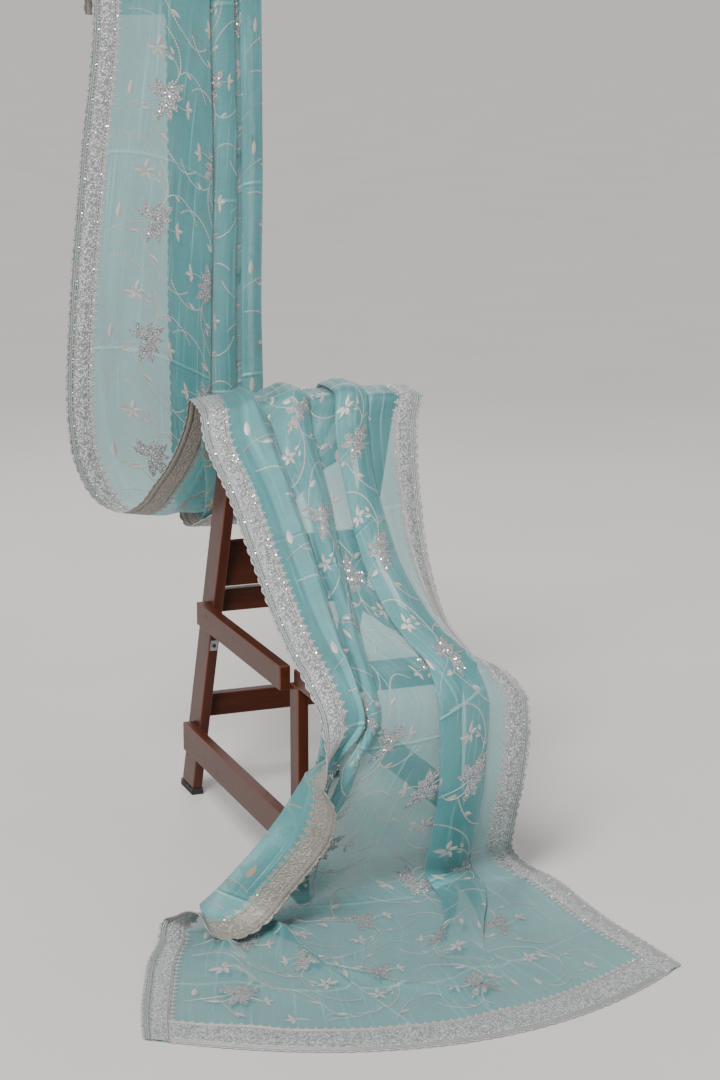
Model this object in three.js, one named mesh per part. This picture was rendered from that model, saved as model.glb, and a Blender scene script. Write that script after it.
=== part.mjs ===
// A saree of sheer organza with a lace border, draped over a rod and a small wooden stand.
// Millimetres, +Z up, +X to the right and -Y to the front of the stand.
// The cloth is one length, 1100 wide, gathered into folds that run along it. It comes over the
// rod, hangs, loops up behind the stand, passes over its top rail, slants down to the front
// rail, falls to the floor and spreads there with its end border to the front.
import * as THREE from 'three';

// Cloth and lace
const wall = 2;
const laceWall = 1.5;
const seamGap = 0.3;
const laceClearance = 0.5;
const laceWidth = 64;
const leftTurnWidth = 125;
const leftFlatWidth = 80;
const rightTurnWidth = 210;
const turnRadius = 4;
const leastRound = 1.5;
const openFold = 24;
const tuckOpening = 0.05;
// Where a fold closes or opens, its turns flip over this much overlap.
const flipOverlap = 15;
// Clear lengths between the folds and beside the edge strips
const room = { layers: 6, afterFirst: 5, beforeSecond: 3, besideBroad: 12, besideLace: 8 };
// How the left part of the first fold swells, as shares of its run and of the row's puff
const swell = [{ run: 0.35, puff: 0.6 }, { run: 0.7, puff: 1 }];
const leastSlant = 0.3;

// Rod
const rodRadius = 12.3;
const rodLength = 560;
const rodCentre = { x: 12, y: 68, z: 1752 };
const rodWrapRadius = 24.2;
const rodWrapSteps = 6;
const rodDrop = 90;
const rodCap = { radius: 17, thickness: 6 };

// Stand, whose outer left face is x = 0 and whose rear legs stand with their front edge at y = 0
const plank = 22;
const standWidth = 340;
const rearLegDepth = 75;
const rearLegLean = 0.372;
const rearLegTop = 884;
const foot = { height: 14, margin: 2 };
const frontLeg = { front: -690, depth: 45, top: 429.7 };
const topRail = { left: -22, right: 380, front: -338, back: -270, low: 884.3, high: 907.2 };
const upperRail = { low: 418, high: 466, front: -652 };
const lowerRail = { low: 110, high: 172, front: -690 };
const stepBoard = { front: -757, back: -668, low: 430, high: 463 };
const crosspieces = [
  { name: 'rail_rear_low', low: 190, high: 240, inset: 26, thickness: 22 },
  { name: 'rail_rear_seat', low: 445, high: 493, inset: 26, thickness: 22 },
  { name: 'slat_back', low: 506, high: 603, inset: 30, thickness: 12 },
];
const bracket = { width: 16, height: 26, thickness: 2, middle: 372, screwRadius: 4, screwHead: 1.5 };

// Sections of the cloth from its plain end behind the rod to its end border on the floor.
// left and right are the ends of a section's line, bow is how far its middle lies off that
// line, and each fold has the place, across the stand, where it turns in and where it turns
// out. A fold whose inner turn lies past its outer turn is spread open. Turns are in degrees:
// the left edge turns back over the cloth, the right edge tucks under it, or droops below zero.
const columns = [
  'leftX', 'leftY', 'leftZ', 'rightX', 'rightY', 'rightZ', 'bowY', 'bowZ',
  'firstIn', 'firstOut', 'secondIn', 'secondOut', 'broadIn', 'broadOut', 'spread',
  'leftTurn', 'rightTurn', 'firstPitch', 'pitch', 'puff',
];
const hangSections = [
  [-172, 46, 1692, 196, 46, 1692, 0, 0, 14, 78, 91, 131, 142, 190, 0, 0, 180, 5, 5, 4],
  [-207, 46, 1370, 196, 46, 1370, 0, 0, 8, 80, 93, 133, 143, 190, 0, 0, 180, 5, 5, 7],
  [-240, 46, 1046, 190, 46, 1046, 0, 0, -6, 72, 86, 127, 138, 184, 0, 0, 180, 5, 5, 9],
  [-249, 46, 879, 192, 46, 885, 0, 0, -6, 68, 83, 126, 138, 186, 0, 0, 180, 5, 5, 9],
  [-244, 44, 785, 192, 46, 795, 0, 0, 0, 70, 84, 128, 138, 186, 0, 0, 178, 5, 5, 9],
  [-224, 38, 710, 192, 42, 706, 0, -4, 10, 76, 90, 132, 142, 186, 0, 0, 176, 5, 5, 9],
];
const loopSections = [
  [-190, 24, 655, 192, 22, 640, 0, -8, 18, 80, 93, 134, 143, 186, 0, 0, 172, 5, 5, 9],
  [-150, -6, 632, 194, -22, 612, 0, -10, 20, 82, 95, 136, 145, 188, 0, 0, 168, 5, 5, 9],
  [-122, -46, 655, 202, -66, 632, 0, -12, 18, 86, 99, 142, 152, 196, 0, 0, 160, 5, 5, 8],
  [-102, -100, 708, 228, -108, 686, 0, -12, 10, 90, 106, 150, 166, 216, 0, 0, 140, 5, 5, 8],
  [-86, -146, 755, 276, -152, 752, 0, -6, -6, 92, 112, 160, 178, 238, 0, 0, 90, 5, 5, 8],
  [-74, -186, 806, 346, -192, 822, 0, 0, -24, 82, 108, 160, 190, 256, 0, 0, 20, 5, 5, 8],
  [-68, -226, 864, 392, -232, 882, 0, 8, -34, 62, 100, 152, 200, 268, 0, 0, 5, 5, 5, 8],
  [-72, -262, 908, 398, -263, 920, 0, 12, -44, 46, 94, 147, 203, 272, 0, 0, 0, 5, 5, 8],
];
const frontSections = [
  [-80, -344, 900, 397, -344, 914, 0, 16, -50, 42, 92, 146, 203, 272, 0, 0, 0, 5, 5, 10],
  [-84, -374, 858, 378, -376, 862, 0, 8, -52, 62, 92, 144, 192, 262, 0, 0, -6, 5, 5, 12],
  [-64, -474, 750, 349, -476, 752, 0, 4, -38, 68, 90, 141, 176, 242, 0, 0, -18, 5, 5, 14],
  [-52, -574, 645, 333, -574, 648, 0, 0, -28, 76, 90, 130, 170, 242, 0, 0, -32, 5, 5, 14],
  [-41, -660, 556, 334, -662, 560, 0, 0, -18, 79, 92, 124, 184, 264, 0, 0, -45, 5, 5, 12],
  [-30, -716, 502, 362, -716, 505, 0, 0, -8, 80, 93, 122, 210, 294, 0, 0, -45, 5, 5, 9],
  [-19, -764, 462, 404, -764, 464, 0, 0, 0, 84, 97, 120, 234, 328, 0, 0, -30, 5, 5, 6],
];
const fallSections = [
  [-4, -798, 392, 438, -798, 388, 0, 0, 6, 90, 102, 124, 240, 344, 0, 14, -10, 5, 5, 6],
  [-28, -802, 322, 436, -796, 312, 0, 0, -4, 44, 58, 86, 243, 341, 0, 80, 0, 5, 5, 10],
  [-72, -800, 252, 430, -790, 232, 0, 0, -40, 10, 24, 56, 243, 338, 0, 125, 0, 5, 5, 12],
  [-114, -788, 192, 425, -772, 165, 0, 0, -80, -28, -14, 14, 241, 336, 0, 142, 0, 5, 5, 14],
  [-176, -764, 112, 428, -742, 92, 0, 0, -130, -76, -62, -34, 240, 338, 0, 146, 0, 5, 5, 14],
  [-238, -740, 42, 462, -706, 36, 0, 0, -176, -122, -106, -76, 248, 350, 0, 75, 0, 5, 5, 12],
];
const floorSections = [
  [-292, -752, 2, 512, -716, 2, -20, 0, -190, -150, -120, -88, 262, 366, 0, 20, 0, 4, 5, 12],
  [-318, -800, 1, 521, -786, 1, -45, 0, -160, -170, -90, -66, 240, 336, 0.15, 0, 0, 2.5, 4.5, 13],
  [-352, -862, 1, 519, -868, 1, -75, 0, -130, -180, -50, -70, 196, 284, 0.4, 0, 0, 1.5, 4, 13],
  [-388, -958, 1, 520, -968, 1, -110, 0, -120, -200, -10, -50, 150, 226, 0.7, 0, 0, 1, 3, 10],
  [-428, -1078, 1, 535, -1112, 1, -158, 0, -120, -220, 40, -10, 120, 190, 1, 0, 0, 0.2, 0.4, 4],
  [-452, -1171, 1, 544, -1219, 1, -186, 0, -120, -220, 60, 10, 110, 180, 1, 0, 0, 0, 0, 0],
];

function named(row) {
  return Object.fromEntries(columns.map((column, i) => [column, row[i]]));
}

// The rows over the rod repeat the first hanging section on an arc round the rod.
function rodRows() {
  const first = named(hangSections[0]);
  const rows = [];
  const arc = (angle, drop) => {
    const y = rodCentre.y + rodWrapRadius * Math.cos(angle);
    const z = rodCentre.z + rodWrapRadius * Math.sin(angle) - drop;
    rows.push({ ...first, leftY: y, rightY: y, leftZ: z, rightZ: z });
  };
  arc(0, rodDrop);
  for (let i = 0; i <= rodWrapSteps; i += 1) arc((Math.PI * i) / rodWrapSteps, 0);
  return rows;
}

const overRod = rodRows();
const rows = [
  ...overRod, ...hangSections.map(named), ...loopSections.map(named),
  ...frontSections.map(named), ...fallSections.map(named), ...floorSections.map(named),
];
const places = rows.map(() => 0);
for (let i = 1; i < rows.length; i += 1) {
  const middle = (row, axis) => (row[`left${axis}`] + row[`right${axis}`]) / 2;
  const step = ['X', 'Y', 'Z'].map((axis) => middle(rows[i], axis) - middle(rows[i - 1], axis));
  places[i] = places[i - 1] + Math.hypot(...step);
}

// A smooth curve through one column that never swings past its own rows
function slope(column, i) {
  if (i === 0 || i === rows.length - 1) return 0;
  const before = (rows[i][column] - rows[i - 1][column]) / (places[i] - places[i - 1]);
  const after = (rows[i + 1][column] - rows[i][column]) / (places[i + 1] - places[i]);
  return before * after <= 0 ? 0 : (2 * before * after) / (before + after);
}

function rowAt(index) {
  const i = Math.min(Math.floor(index), rows.length - 2);
  const t = index - i;
  const span = places[i + 1] - places[i];
  const row = {};
  for (const column of columns) {
    const a = rows[i][column];
    const b = rows[i + 1][column];
    row[column] = a * (1 + 2 * t) * (1 - t) ** 2 + b * t * t * (3 - 2 * t)
      + span * (slope(column, i) * t * (1 - t) ** 2 - slope(column, i + 1) * t * t * (1 - t));
  }
  return row;
}

// One section as points across the cloth: how far along its line and how high above it.
// lace counts the points that the lace borders share at either edge.
const laceColumns = 3;

// The layer inside a fold leans over as the fold opens, so it never shrinks to nothing.
function foldFlip(overlap, round, half) {
  const flip = THREE.MathUtils.clamp(overlap / flipOverlap, -1, 1) * round;
  const lean = (half / 2) * (1 - Math.abs(flip) / round);
  return { flip, lean };
}

function foldTurns(points, inner, outer, pitch) {
  const half = pitch / 2;
  const round = Math.max(half, leastRound);
  const { flip, lean } = foldFlip(outer - inner, round, half);
  const top = 2 * pitch;
  points.push([outer - round, top], [outer, top - half], [outer - flip, pitch + lean]);
  points.push([inner + flip, pitch - lean], [inner, half], [inner + round, 0]);
}

function broadDepth(inner, outer, spread) {
  return ((outer - inner) / 2 - room.layers) * (1 - 2 * spread);
}

function broadFold(points, inner, outer, spread, pitch, puff) {
  const half = pitch / 2;
  const round = Math.max(half, leastRound);
  const depth = broadDepth(inner, outer, spread);
  const { flip, lean } = foldFlip(depth, round, half);
  const near = inner + depth;
  const far = outer - depth;
  const top = 2 * pitch;
  points.push([near - round, 0], [near, half], [near - flip, pitch - lean]);
  points.push([inner + flip, pitch + lean], [inner, top - half], [inner + round, top]);
  points.push([(inner + outer) / 2, top + puff]);
  points.push([outer - round, top], [outer, top - half], [outer - flip, pitch + lean]);
  points.push([far + flip, pitch - lean], [far, half], [far + round, 0]);
}

function edgeStrip(width, turnLine, side, turn, lift) {
  const away = Math.cos(turn);
  const strip = [];
  for (let i = 0; i < laceColumns; i += 1) {
    strip.push(width - (laceWidth * i) / (laceColumns - 1));
  }
  strip.push((width - laceWidth) / 2, turnRadius);
  const round = turnRadius * (1 - away);
  const points = strip.map((d) => [turnLine + side * d * away, round + d * lift]);
  points.push([turnLine, round / 2], [turnLine - side * turnRadius, 0]);
  return points;
}

function sectionPoints(row) {
  const width = Math.hypot(row.rightX - row.leftX, row.rightY - row.leftY, row.rightZ - row.leftZ);
  const along = (x) => ((x - row.leftX) / (row.rightX - row.leftX)) * width;
  const leftTurn = THREE.MathUtils.degToRad(row.leftTurn);
  const rightTurn = THREE.MathUtils.degToRad(Math.abs(row.rightTurn));
  const leftWidth = leftFlatWidth + ((leftTurnWidth - leftFlatWidth) * (1 - Math.cos(leftTurn))) / 2;
  const leftLine = leftWidth * Math.max(0, Math.cos(leftTurn));
  const firstTop = 2 * row.firstPitch;
  const [firstIn, firstOut] = [along(row.firstIn), along(row.firstOut)];
  const [secondIn, secondOut] = [along(row.secondIn), along(row.secondOut)];
  const secondStart = Math.min(secondIn, secondOut - openFold) - room.beforeSecond;
  const [broadIn, broadOut] = [along(row.broadIn), along(row.broadOut)];
  const rightRoom = (width - broadOut - room.besideBroad) / Math.max(Math.cos(rightTurn), leastSlant);
  const rightFlat = THREE.MathUtils.clamp(rightRoom, laceWidth + room.besideLace, rightTurnWidth);
  const folded = (1 - Math.cos(rightTurn)) / 2;
  const rightWidth = THREE.MathUtils.lerp(rightFlat, rightTurnWidth, folded * folded);
  const rightLine = width - rightWidth * Math.max(0, Math.cos(rightTurn));
  const droop = row.rightTurn < 0 ? 1 : tuckOpening;
  const points = edgeStrip(leftWidth, leftLine, -1, leftTurn, Math.sin(leftTurn));
  points.forEach((point) => { point[1] += firstTop; });
  const start = leftLine + room.layers;
  points.push([start, firstTop]);
  for (const { run, puff } of swell) {
    points.push([start + (firstOut - start) * run, firstTop + row.puff * puff]);
  }
  foldTurns(points, firstIn, firstOut, row.firstPitch);
  points.push([Math.max(firstIn, firstOut) + room.afterFirst, 0]);
  points.push([secondStart, 2 * row.pitch]);
  points.push([(secondStart + secondOut) / 2, 2 * row.pitch + row.puff]);
  foldTurns(points, secondIn, secondOut, row.pitch);
  const broadStart = broadIn + Math.min(0, broadDepth(broadIn, broadOut, row.spread));
  points.push([(Math.max(secondIn, secondOut) + broadStart) / 2, 0]);
  broadFold(points, broadIn, broadOut, row.spread, row.pitch, row.puff);
  const right = edgeStrip(rightWidth, rightLine, 1, rightTurn, Math.sin(rightTurn) * droop);
  points.push(...right.reverse().map(([a, h]) => [a, -h]));
  return { points, width };
}

function surfaceRow(index) {
  const row = rowAt(index);
  const left = new THREE.Vector3(row.leftX, row.leftY, row.leftZ);
  const right = new THREE.Vector3(row.rightX, row.rightY, row.rightZ);
  const across = right.clone().sub(left).normalize();
  const middle = (k) => {
    const r = rowAt(THREE.MathUtils.clamp(k, 0, rows.length - 1));
    return new THREE.Vector3(0, (r.leftY + r.rightY) / 2 + r.bowY, (r.leftZ + r.rightZ) / 2 + r.bowZ);
  };
  const ahead = middle(index + 0.25).sub(middle(index - 0.25)).normalize();
  const up = ahead.clone().cross(across).normalize();
  const { points, width } = sectionPoints(row);
  return points.map(([a, h]) => {
    const t = a / width;
    const bow = 4 * t * (1 - t);
    const point = left.clone().addScaledVector(across, a).addScaledVector(up, h);
    point.y += bow * row.bowY;
    point.z += bow * row.bowZ;
    return point;
  });
}

// Closed walls over a grid of points. The ways to and from a point count alike, however far off
// its neighbours are, so a wall keeps its two sides where it turns right over.
function wayThrough(before, point, after) {
  const way = point.clone().sub(before).normalize();
  return way.add(after.clone().sub(point).normalize());
}

function gridNormals(grid) {
  const last = grid.length - 1;
  return grid.map((line, i) => line.map((point, j) => {
    const down = wayThrough(grid[Math.max(i - 1, 0)][j], point, grid[Math.min(i + 1, last)][j]);
    const side = wayThrough(line[Math.max(j - 1, 0)], point, line[Math.min(j + 1, line.length - 1)]);
    return down.cross(side).normalize();
  }));
}

function gridSolid(grid, normals, low, high) {
  const n = grid.length;
  const m = grid[0].length;
  const positions = [];
  for (const offset of [low, high]) {
    grid.forEach((line, i) => line.forEach((point, j) => {
      const moved = point.clone().addScaledVector(normals[i][j], offset);
      positions.push(moved.x, moved.y, moved.z);
    }));
  }
  const at = (layer, i, j) => layer * n * m + i * m + j;
  const faces = [];
  const quad = (a, b, c, d) => faces.push(a, b, c, a, c, d);
  for (let i = 0; i < n - 1; i += 1) {
    for (let j = 0; j < m - 1; j += 1) {
      quad(at(1, i, j), at(1, i + 1, j), at(1, i + 1, j + 1), at(1, i, j + 1));
      quad(at(0, i, j), at(0, i, j + 1), at(0, i + 1, j + 1), at(0, i + 1, j));
    }
    quad(at(0, i, 0), at(0, i + 1, 0), at(1, i + 1, 0), at(1, i, 0));
    quad(at(0, i, m - 1), at(1, i, m - 1), at(1, i + 1, m - 1), at(0, i + 1, m - 1));
  }
  for (let j = 0; j < m - 1; j += 1) {
    quad(at(0, 0, j), at(1, 0, j), at(1, 0, j + 1), at(0, 0, j + 1));
    quad(at(0, n - 1, j), at(0, n - 1, j + 1), at(1, n - 1, j + 1), at(1, n - 1, j));
  }
  const geometry = new THREE.BufferGeometry();
  geometry.setAttribute('position', new THREE.Float32BufferAttribute(positions, 3));
  geometry.setIndex(faces);
  geometry.computeVertexNormals();
  return geometry;
}

const clothMaterial = new THREE.MeshStandardMaterial({ color: 0x6fb9b6, roughness: 0.55, metalness: 0 });
const laceMaterial = new THREE.MeshStandardMaterial({ color: 0xb9bcc0, roughness: 0.4, metalness: 0.3 });
const woodMaterial = new THREE.MeshStandardMaterial({ color: 0x6e2b1a, roughness: 0.45, metalness: 0 });
const steelMaterial = new THREE.MeshStandardMaterial({ color: 0x8d9093, roughness: 0.4, metalness: 0.9 });
const rubberMaterial = new THREE.MeshStandardMaterial({ color: 0x1d1c1b, roughness: 0.8, metalness: 0 });

const model = new THREE.Group();

function addMesh(name, geometry, material) {
  const mesh = new THREE.Mesh(geometry, material);
  mesh.name = name;
  model.add(mesh);
  return mesh;
}

// Each stretch is a run of rows. A seam gap parts it from the next stretch.
const rodCount = overRod.length;
const loopStart = rodCount + hangSections.length;
const riseStart = loopStart + 1;
const frontStart = loopStart + loopSections.length;
const fallStart = frontStart + frontSections.length;
const floorStart = fallStart + fallSections.length;
const stretches = [
  { name: 'rod_end', from: 0, to: rodCount, steps: 1 },
  { name: 'hanging', from: rodCount, to: loopStart, steps: 1 },
  { name: 'loop', from: loopStart, to: riseStart, steps: 2 },
  { name: 'rise', from: riseStart, to: frontStart, steps: 1.25 },
  { name: 'front', from: frontStart, to: fallStart, steps: 1.5 },
  { name: 'fall', from: fallStart, to: floorStart, steps: 2 },
  { name: 'floor', from: floorStart, to: rows.length - 1, steps: 2 },
];

// Lines are added where the cloth turns over within a short length: where the right tuck stands
// on edge, and where each fold of the floor stretch is at the point of opening.
const tuckLines = [-0.2, 0, 0.2, 0.35, 0.5, 0.65];
const tuckRow = rows.findIndex((row, i) => i > loopStart && row.rightTurn <= 90);
const openness = [
  (row) => row.firstIn - row.firstOut,
  (row) => row.secondIn - row.secondOut,
  (row) => row.spread - 0.5,
];

function openingRow(open) {
  let [shut, past] = [floorStart, rows.length - 1];
  for (let i = 0; i < 20; i += 1) {
    const middle = (shut + past) / 2;
    if (open(rowAt(middle)) < 0) shut = middle;
    else past = middle;
  }
  return past;
}

const closeLines = [...tuckLines.map((ahead) => tuckRow + ahead), ...openness.map(openingRow)];

const indices = [0];
for (const stretch of stretches) {
  const count = Math.ceil((stretch.to - stretch.from) * stretch.steps);
  const lines = closeLines.filter((line) => line > stretch.from && line < stretch.to);
  for (let i = 1; i <= count; i += 1) {
    lines.push(stretch.from + ((stretch.to - stretch.from) * i) / count);
  }
  stretch.first = indices.length - 1;
  indices.push(...lines.sort((a, b) => a - b));
  stretch.last = indices.length - 1;
}
const sheet = indices.map(surfaceRow);
const sheetNormals = gridNormals(sheet);

// Moves a shared end line by half the seam gap, square to itself, up the cloth or down it.
function drawBack(index, side) {
  const line = sheet[index];
  return line.map((point, j) => {
    const along = line[Math.min(j + 1, line.length - 1)].clone().sub(line[Math.max(j - 1, 0)]).normalize();
    const inwards = sheet[index + 1][j].clone().sub(sheet[index - 1][j]).multiplyScalar(side);
    inwards.addScaledVector(along, -inwards.dot(along)).normalize();
    return point.clone().addScaledVector(inwards, seamGap / 2);
  });
}

function stretchGrid(stretch) {
  const grid = sheet.slice(stretch.first, stretch.last + 1);
  if (stretch.first > 0) grid[0] = drawBack(stretch.first, 1);
  if (stretch.last < sheet.length - 1) grid[grid.length - 1] = drawBack(stretch.last, -1);
  return grid;
}

// Draws both ends of a line across the cloth inwards by a gap.
function drawInwards(line, gap) {
  const end = line.length - 1;
  const moved = (point, next) => point.clone().addScaledVector(next.clone().sub(point).normalize(), gap);
  return [moved(line[0], line[1]), ...line.slice(1, end), moved(line[end], line[end - 1])];
}

const laceLow = wall / 2 + laceClearance;
const laceHigh = laceLow + laceWall;
for (const stretch of stretches) {
  const grid = stretchGrid(stretch);
  const normals = sheetNormals.slice(stretch.first, stretch.last + 1);
  addMesh(`cloth_${stretch.name}`, gridSolid(grid, normals, -wall / 2, wall / 2), clothMaterial);
  const addStrip = (name, firstLine, from, to, gap) => {
    const lines = grid.slice(firstLine).map((line) => drawInwards(line.slice(from, to), gap));
    const ups = normals.slice(firstLine).map((line) => line.slice(from, to));
    addMesh(name, gridSolid(lines, ups, laceLow, laceHigh), laceMaterial);
  };
  const across = grid[0].length;
  addStrip(`lace_left_${stretch.name}`, 0, 0, laceColumns, 0);
  addStrip(`lace_right_${stretch.name}`, 0, across - laceColumns, across, 0);
  if (stretch.name === 'floor') {
    const firstLine = grid.length - 1 - stretch.steps;
    addStrip('lace_end', firstLine, laceColumns - 1, across - laceColumns + 1, seamGap);
  }
}

// The stand
function addBox(name, material, [x0, x1], [y0, y1], [z0, z1]) {
  const box = addMesh(name, new THREE.BoxGeometry(x1 - x0, y1 - y0, z1 - z0), material);
  box.position.set((x0 + x1) / 2, (y0 + y1) / 2, (z0 + z1) / 2);
  return box;
}

function rearLegGeometry() {
  const low = foot.height + seamGap;
  const front = (z) => -rearLegLean * z;
  const side = new THREE.Shape([
    new THREE.Vector2(front(low), low),
    new THREE.Vector2(front(low) + rearLegDepth, low),
    new THREE.Vector2(front(rearLegTop) + rearLegDepth, rearLegTop),
    new THREE.Vector2(front(rearLegTop), rearLegTop),
  ]);
  const geometry = new THREE.ExtrudeGeometry(side, { depth: plank, bevelEnabled: false });
  const axes = [new THREE.Vector3(0, 1, 0), new THREE.Vector3(0, 0, 1), new THREE.Vector3(1, 0, 0)];
  return geometry.applyMatrix4(new THREE.Matrix4().makeBasis(...axes));
}

const innerFaces = [plank + seamGap, standWidth - plank - seamGap];
const sides = [
  { name: 'left', x: 0, outer: [-plank - seamGap, -seamGap] },
  { name: 'right', x: standWidth - plank, outer: [standWidth + seamGap, standWidth + plank + seamGap] },
];
for (const side of sides) {
  const rearLeg = addMesh(`leg_rear_${side.name}`, rearLegGeometry(), woodMaterial);
  rearLeg.position.x = side.x;
  const x = [side.x, side.x + plank];
  const frontLegY = [frontLeg.front, frontLeg.front + frontLeg.depth];
  addBox(`leg_front_${side.name}`, woodMaterial, x, frontLegY, [foot.height + seamGap, frontLeg.top]);
  const footX = [x[0] - foot.margin, x[1] + foot.margin];
  const rearFootY = [-foot.margin - rearLegLean * foot.height, rearLegDepth];
  const frontFootY = [frontLegY[0] - foot.margin, frontLegY[1] + foot.margin];
  addBox(`foot_rear_${side.name}`, rubberMaterial, footX, rearFootY, [0, foot.height]);
  addBox(`foot_front_${side.name}`, rubberMaterial, footX, frontFootY, [0, foot.height]);
  for (const [name, rail] of [['upper', upperRail], ['lower', lowerRail]]) {
    const back = rearLegDepth / 2 - (rearLegLean * (rail.low + rail.high)) / 2;
    const y = [rail.front, back];
    addBox(`rail_${name}_${side.name}`, woodMaterial, side.outer, y, [rail.low, rail.high]);
  }
}
for (const piece of crosspieces) {
  const y = piece.inset - (rearLegLean * (piece.low + piece.high)) / 2;
  addBox(piece.name, woodMaterial, innerFaces, [y, y + piece.thickness], [piece.low, piece.high]);
}
const topX = [topRail.left, topRail.right];
addBox('rail_top', woodMaterial, topX, [topRail.front, topRail.back], [topRail.low, topRail.high]);
const stepY = [stepBoard.front, stepBoard.back];
addBox('step_board', woodMaterial, [0, standWidth], stepY, [stepBoard.low, stepBoard.high]);

// The angle plate under the left rail lies on the leaning front edge of the leg.
const plate = new THREE.Group();
plate.position.set(plank / 2, -rearLegLean * bracket.middle, bracket.middle);
plate.rotation.x = Math.atan(rearLegLean);
model.add(plate);
const plateSize = [bracket.width, bracket.thickness, bracket.height];
const plateMesh = new THREE.Mesh(new THREE.BoxGeometry(...plateSize), steelMaterial);
plateMesh.name = 'bracket';
plateMesh.position.y = -bracket.thickness / 2 - seamGap;
plate.add(plateMesh);
const { screwRadius, screwHead } = bracket;
const screwGeometry = new THREE.CylinderGeometry(screwRadius, screwRadius, screwHead, 16);
const screw = new THREE.Mesh(screwGeometry, steelMaterial);
screw.name = 'bracket_screw';
screw.position.y = -bracket.thickness - bracket.screwHead / 2 - 2 * seamGap;
plate.add(screw);

// The rod and its end caps
function addRound(name, material, radius, [x0, x1]) {
  const round = addMesh(name, new THREE.CylinderGeometry(radius, radius, x1 - x0, 24), material);
  round.rotation.z = Math.PI / 2;
  round.position.set((x0 + x1) / 2, rodCentre.y, rodCentre.z);
}

const rodEnds = [rodCentre.x - rodLength / 2, rodCentre.x + rodLength / 2];
addRound('rod', steelMaterial, rodRadius, rodEnds);
const capOuter = seamGap + rodCap.thickness;
addRound('rod_cap_left', steelMaterial, rodCap.radius, [rodEnds[0] - capOuter, rodEnds[0] - seamGap]);
addRound('rod_cap_right', steelMaterial, rodCap.radius, [rodEnds[1] + seamGap, rodEnds[1] + capOuter]);

// The origin is the middle of the whole part's footprint, on the floor.
model.updateMatrixWorld(true);
const reach = new THREE.Box3().setFromObject(model);
model.position.set(-(reach.min.x + reach.max.x) / 2, -(reach.min.y + reach.max.y) / 2, -reach.min.z);

export default model;
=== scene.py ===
import math
import bmesh
import bpy
import numpy as np
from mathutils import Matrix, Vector


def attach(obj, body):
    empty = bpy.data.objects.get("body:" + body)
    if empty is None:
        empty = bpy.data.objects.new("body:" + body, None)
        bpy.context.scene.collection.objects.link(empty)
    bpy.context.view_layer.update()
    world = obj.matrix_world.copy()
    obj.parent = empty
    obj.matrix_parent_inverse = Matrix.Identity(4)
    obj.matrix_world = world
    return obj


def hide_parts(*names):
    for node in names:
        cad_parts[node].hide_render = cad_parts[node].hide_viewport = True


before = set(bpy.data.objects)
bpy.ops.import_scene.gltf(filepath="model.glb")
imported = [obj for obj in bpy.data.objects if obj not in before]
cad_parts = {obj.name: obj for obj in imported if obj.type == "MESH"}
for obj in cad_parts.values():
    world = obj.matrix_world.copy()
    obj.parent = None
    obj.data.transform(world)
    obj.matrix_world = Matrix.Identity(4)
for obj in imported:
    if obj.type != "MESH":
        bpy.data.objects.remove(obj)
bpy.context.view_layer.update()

# The room: a plain pale floor, three large lamps, one even light and a pale sky, seen from where
# the photograph was taken, left of the stand and as high as the rod. Nothing here is the object.
scene = bpy.context.scene


def add_to_scene(name, data):
    thing = bpy.data.objects.new(name, data)
    scene.collection.objects.link(thing)
    return thing


camera = add_to_scene("camera", bpy.data.cameras.new("camera"))
camera.data.lens = 80
camera.location = (-1.506, -4.142, 1.72)
camera.rotation_euler = (math.radians(77), 0, math.radians(-21.2))
scene.camera = camera

lamps = [
    {"name": "window", "place": (-3.0, -3.6, 3.4), "size": 1.2, "watts": 150, "tint": (1, 0.98, 0.96)},
    {"name": "fill", "place": (3.6, -3.2, 2.6), "size": 2.8, "watts": 40, "tint": (0.93, 0.97, 1)},
    {"name": "back", "place": (0.8, 3.8, 3.2), "size": 2.0, "watts": 50, "tint": (1, 1, 1)},
]
for lamp in lamps:
    light = bpy.data.lights.new(lamp["name"], "AREA")
    light.size = lamp["size"]
    light.energy = lamp["watts"]
    light.color = lamp["tint"]
    stand = add_to_scene(lamp["name"], light)
    stand.location = lamp["place"]
    towards = Vector((0, 0, 0.7)) - stand.location
    stand.rotation_euler = towards.to_track_quat("-Z", "Y").to_euler()

even = bpy.data.lights.new("even light", "SUN")
even.energy = 2.8
even.angle = math.radians(22)
even_stand = add_to_scene("even light", even)
even_stand.rotation_euler = Vector((0.55, 0.62, -1)).to_track_quat("-Z", "Y").to_euler()

scene.world = bpy.data.worlds.new("daylight")
scene.world.use_nodes = True
daylight = scene.world.node_tree.nodes["Background"]
daylight.inputs["Color"].default_value = (0.9, 0.9, 0.9, 1)
daylight.inputs["Strength"].default_value = 0.42


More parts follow.
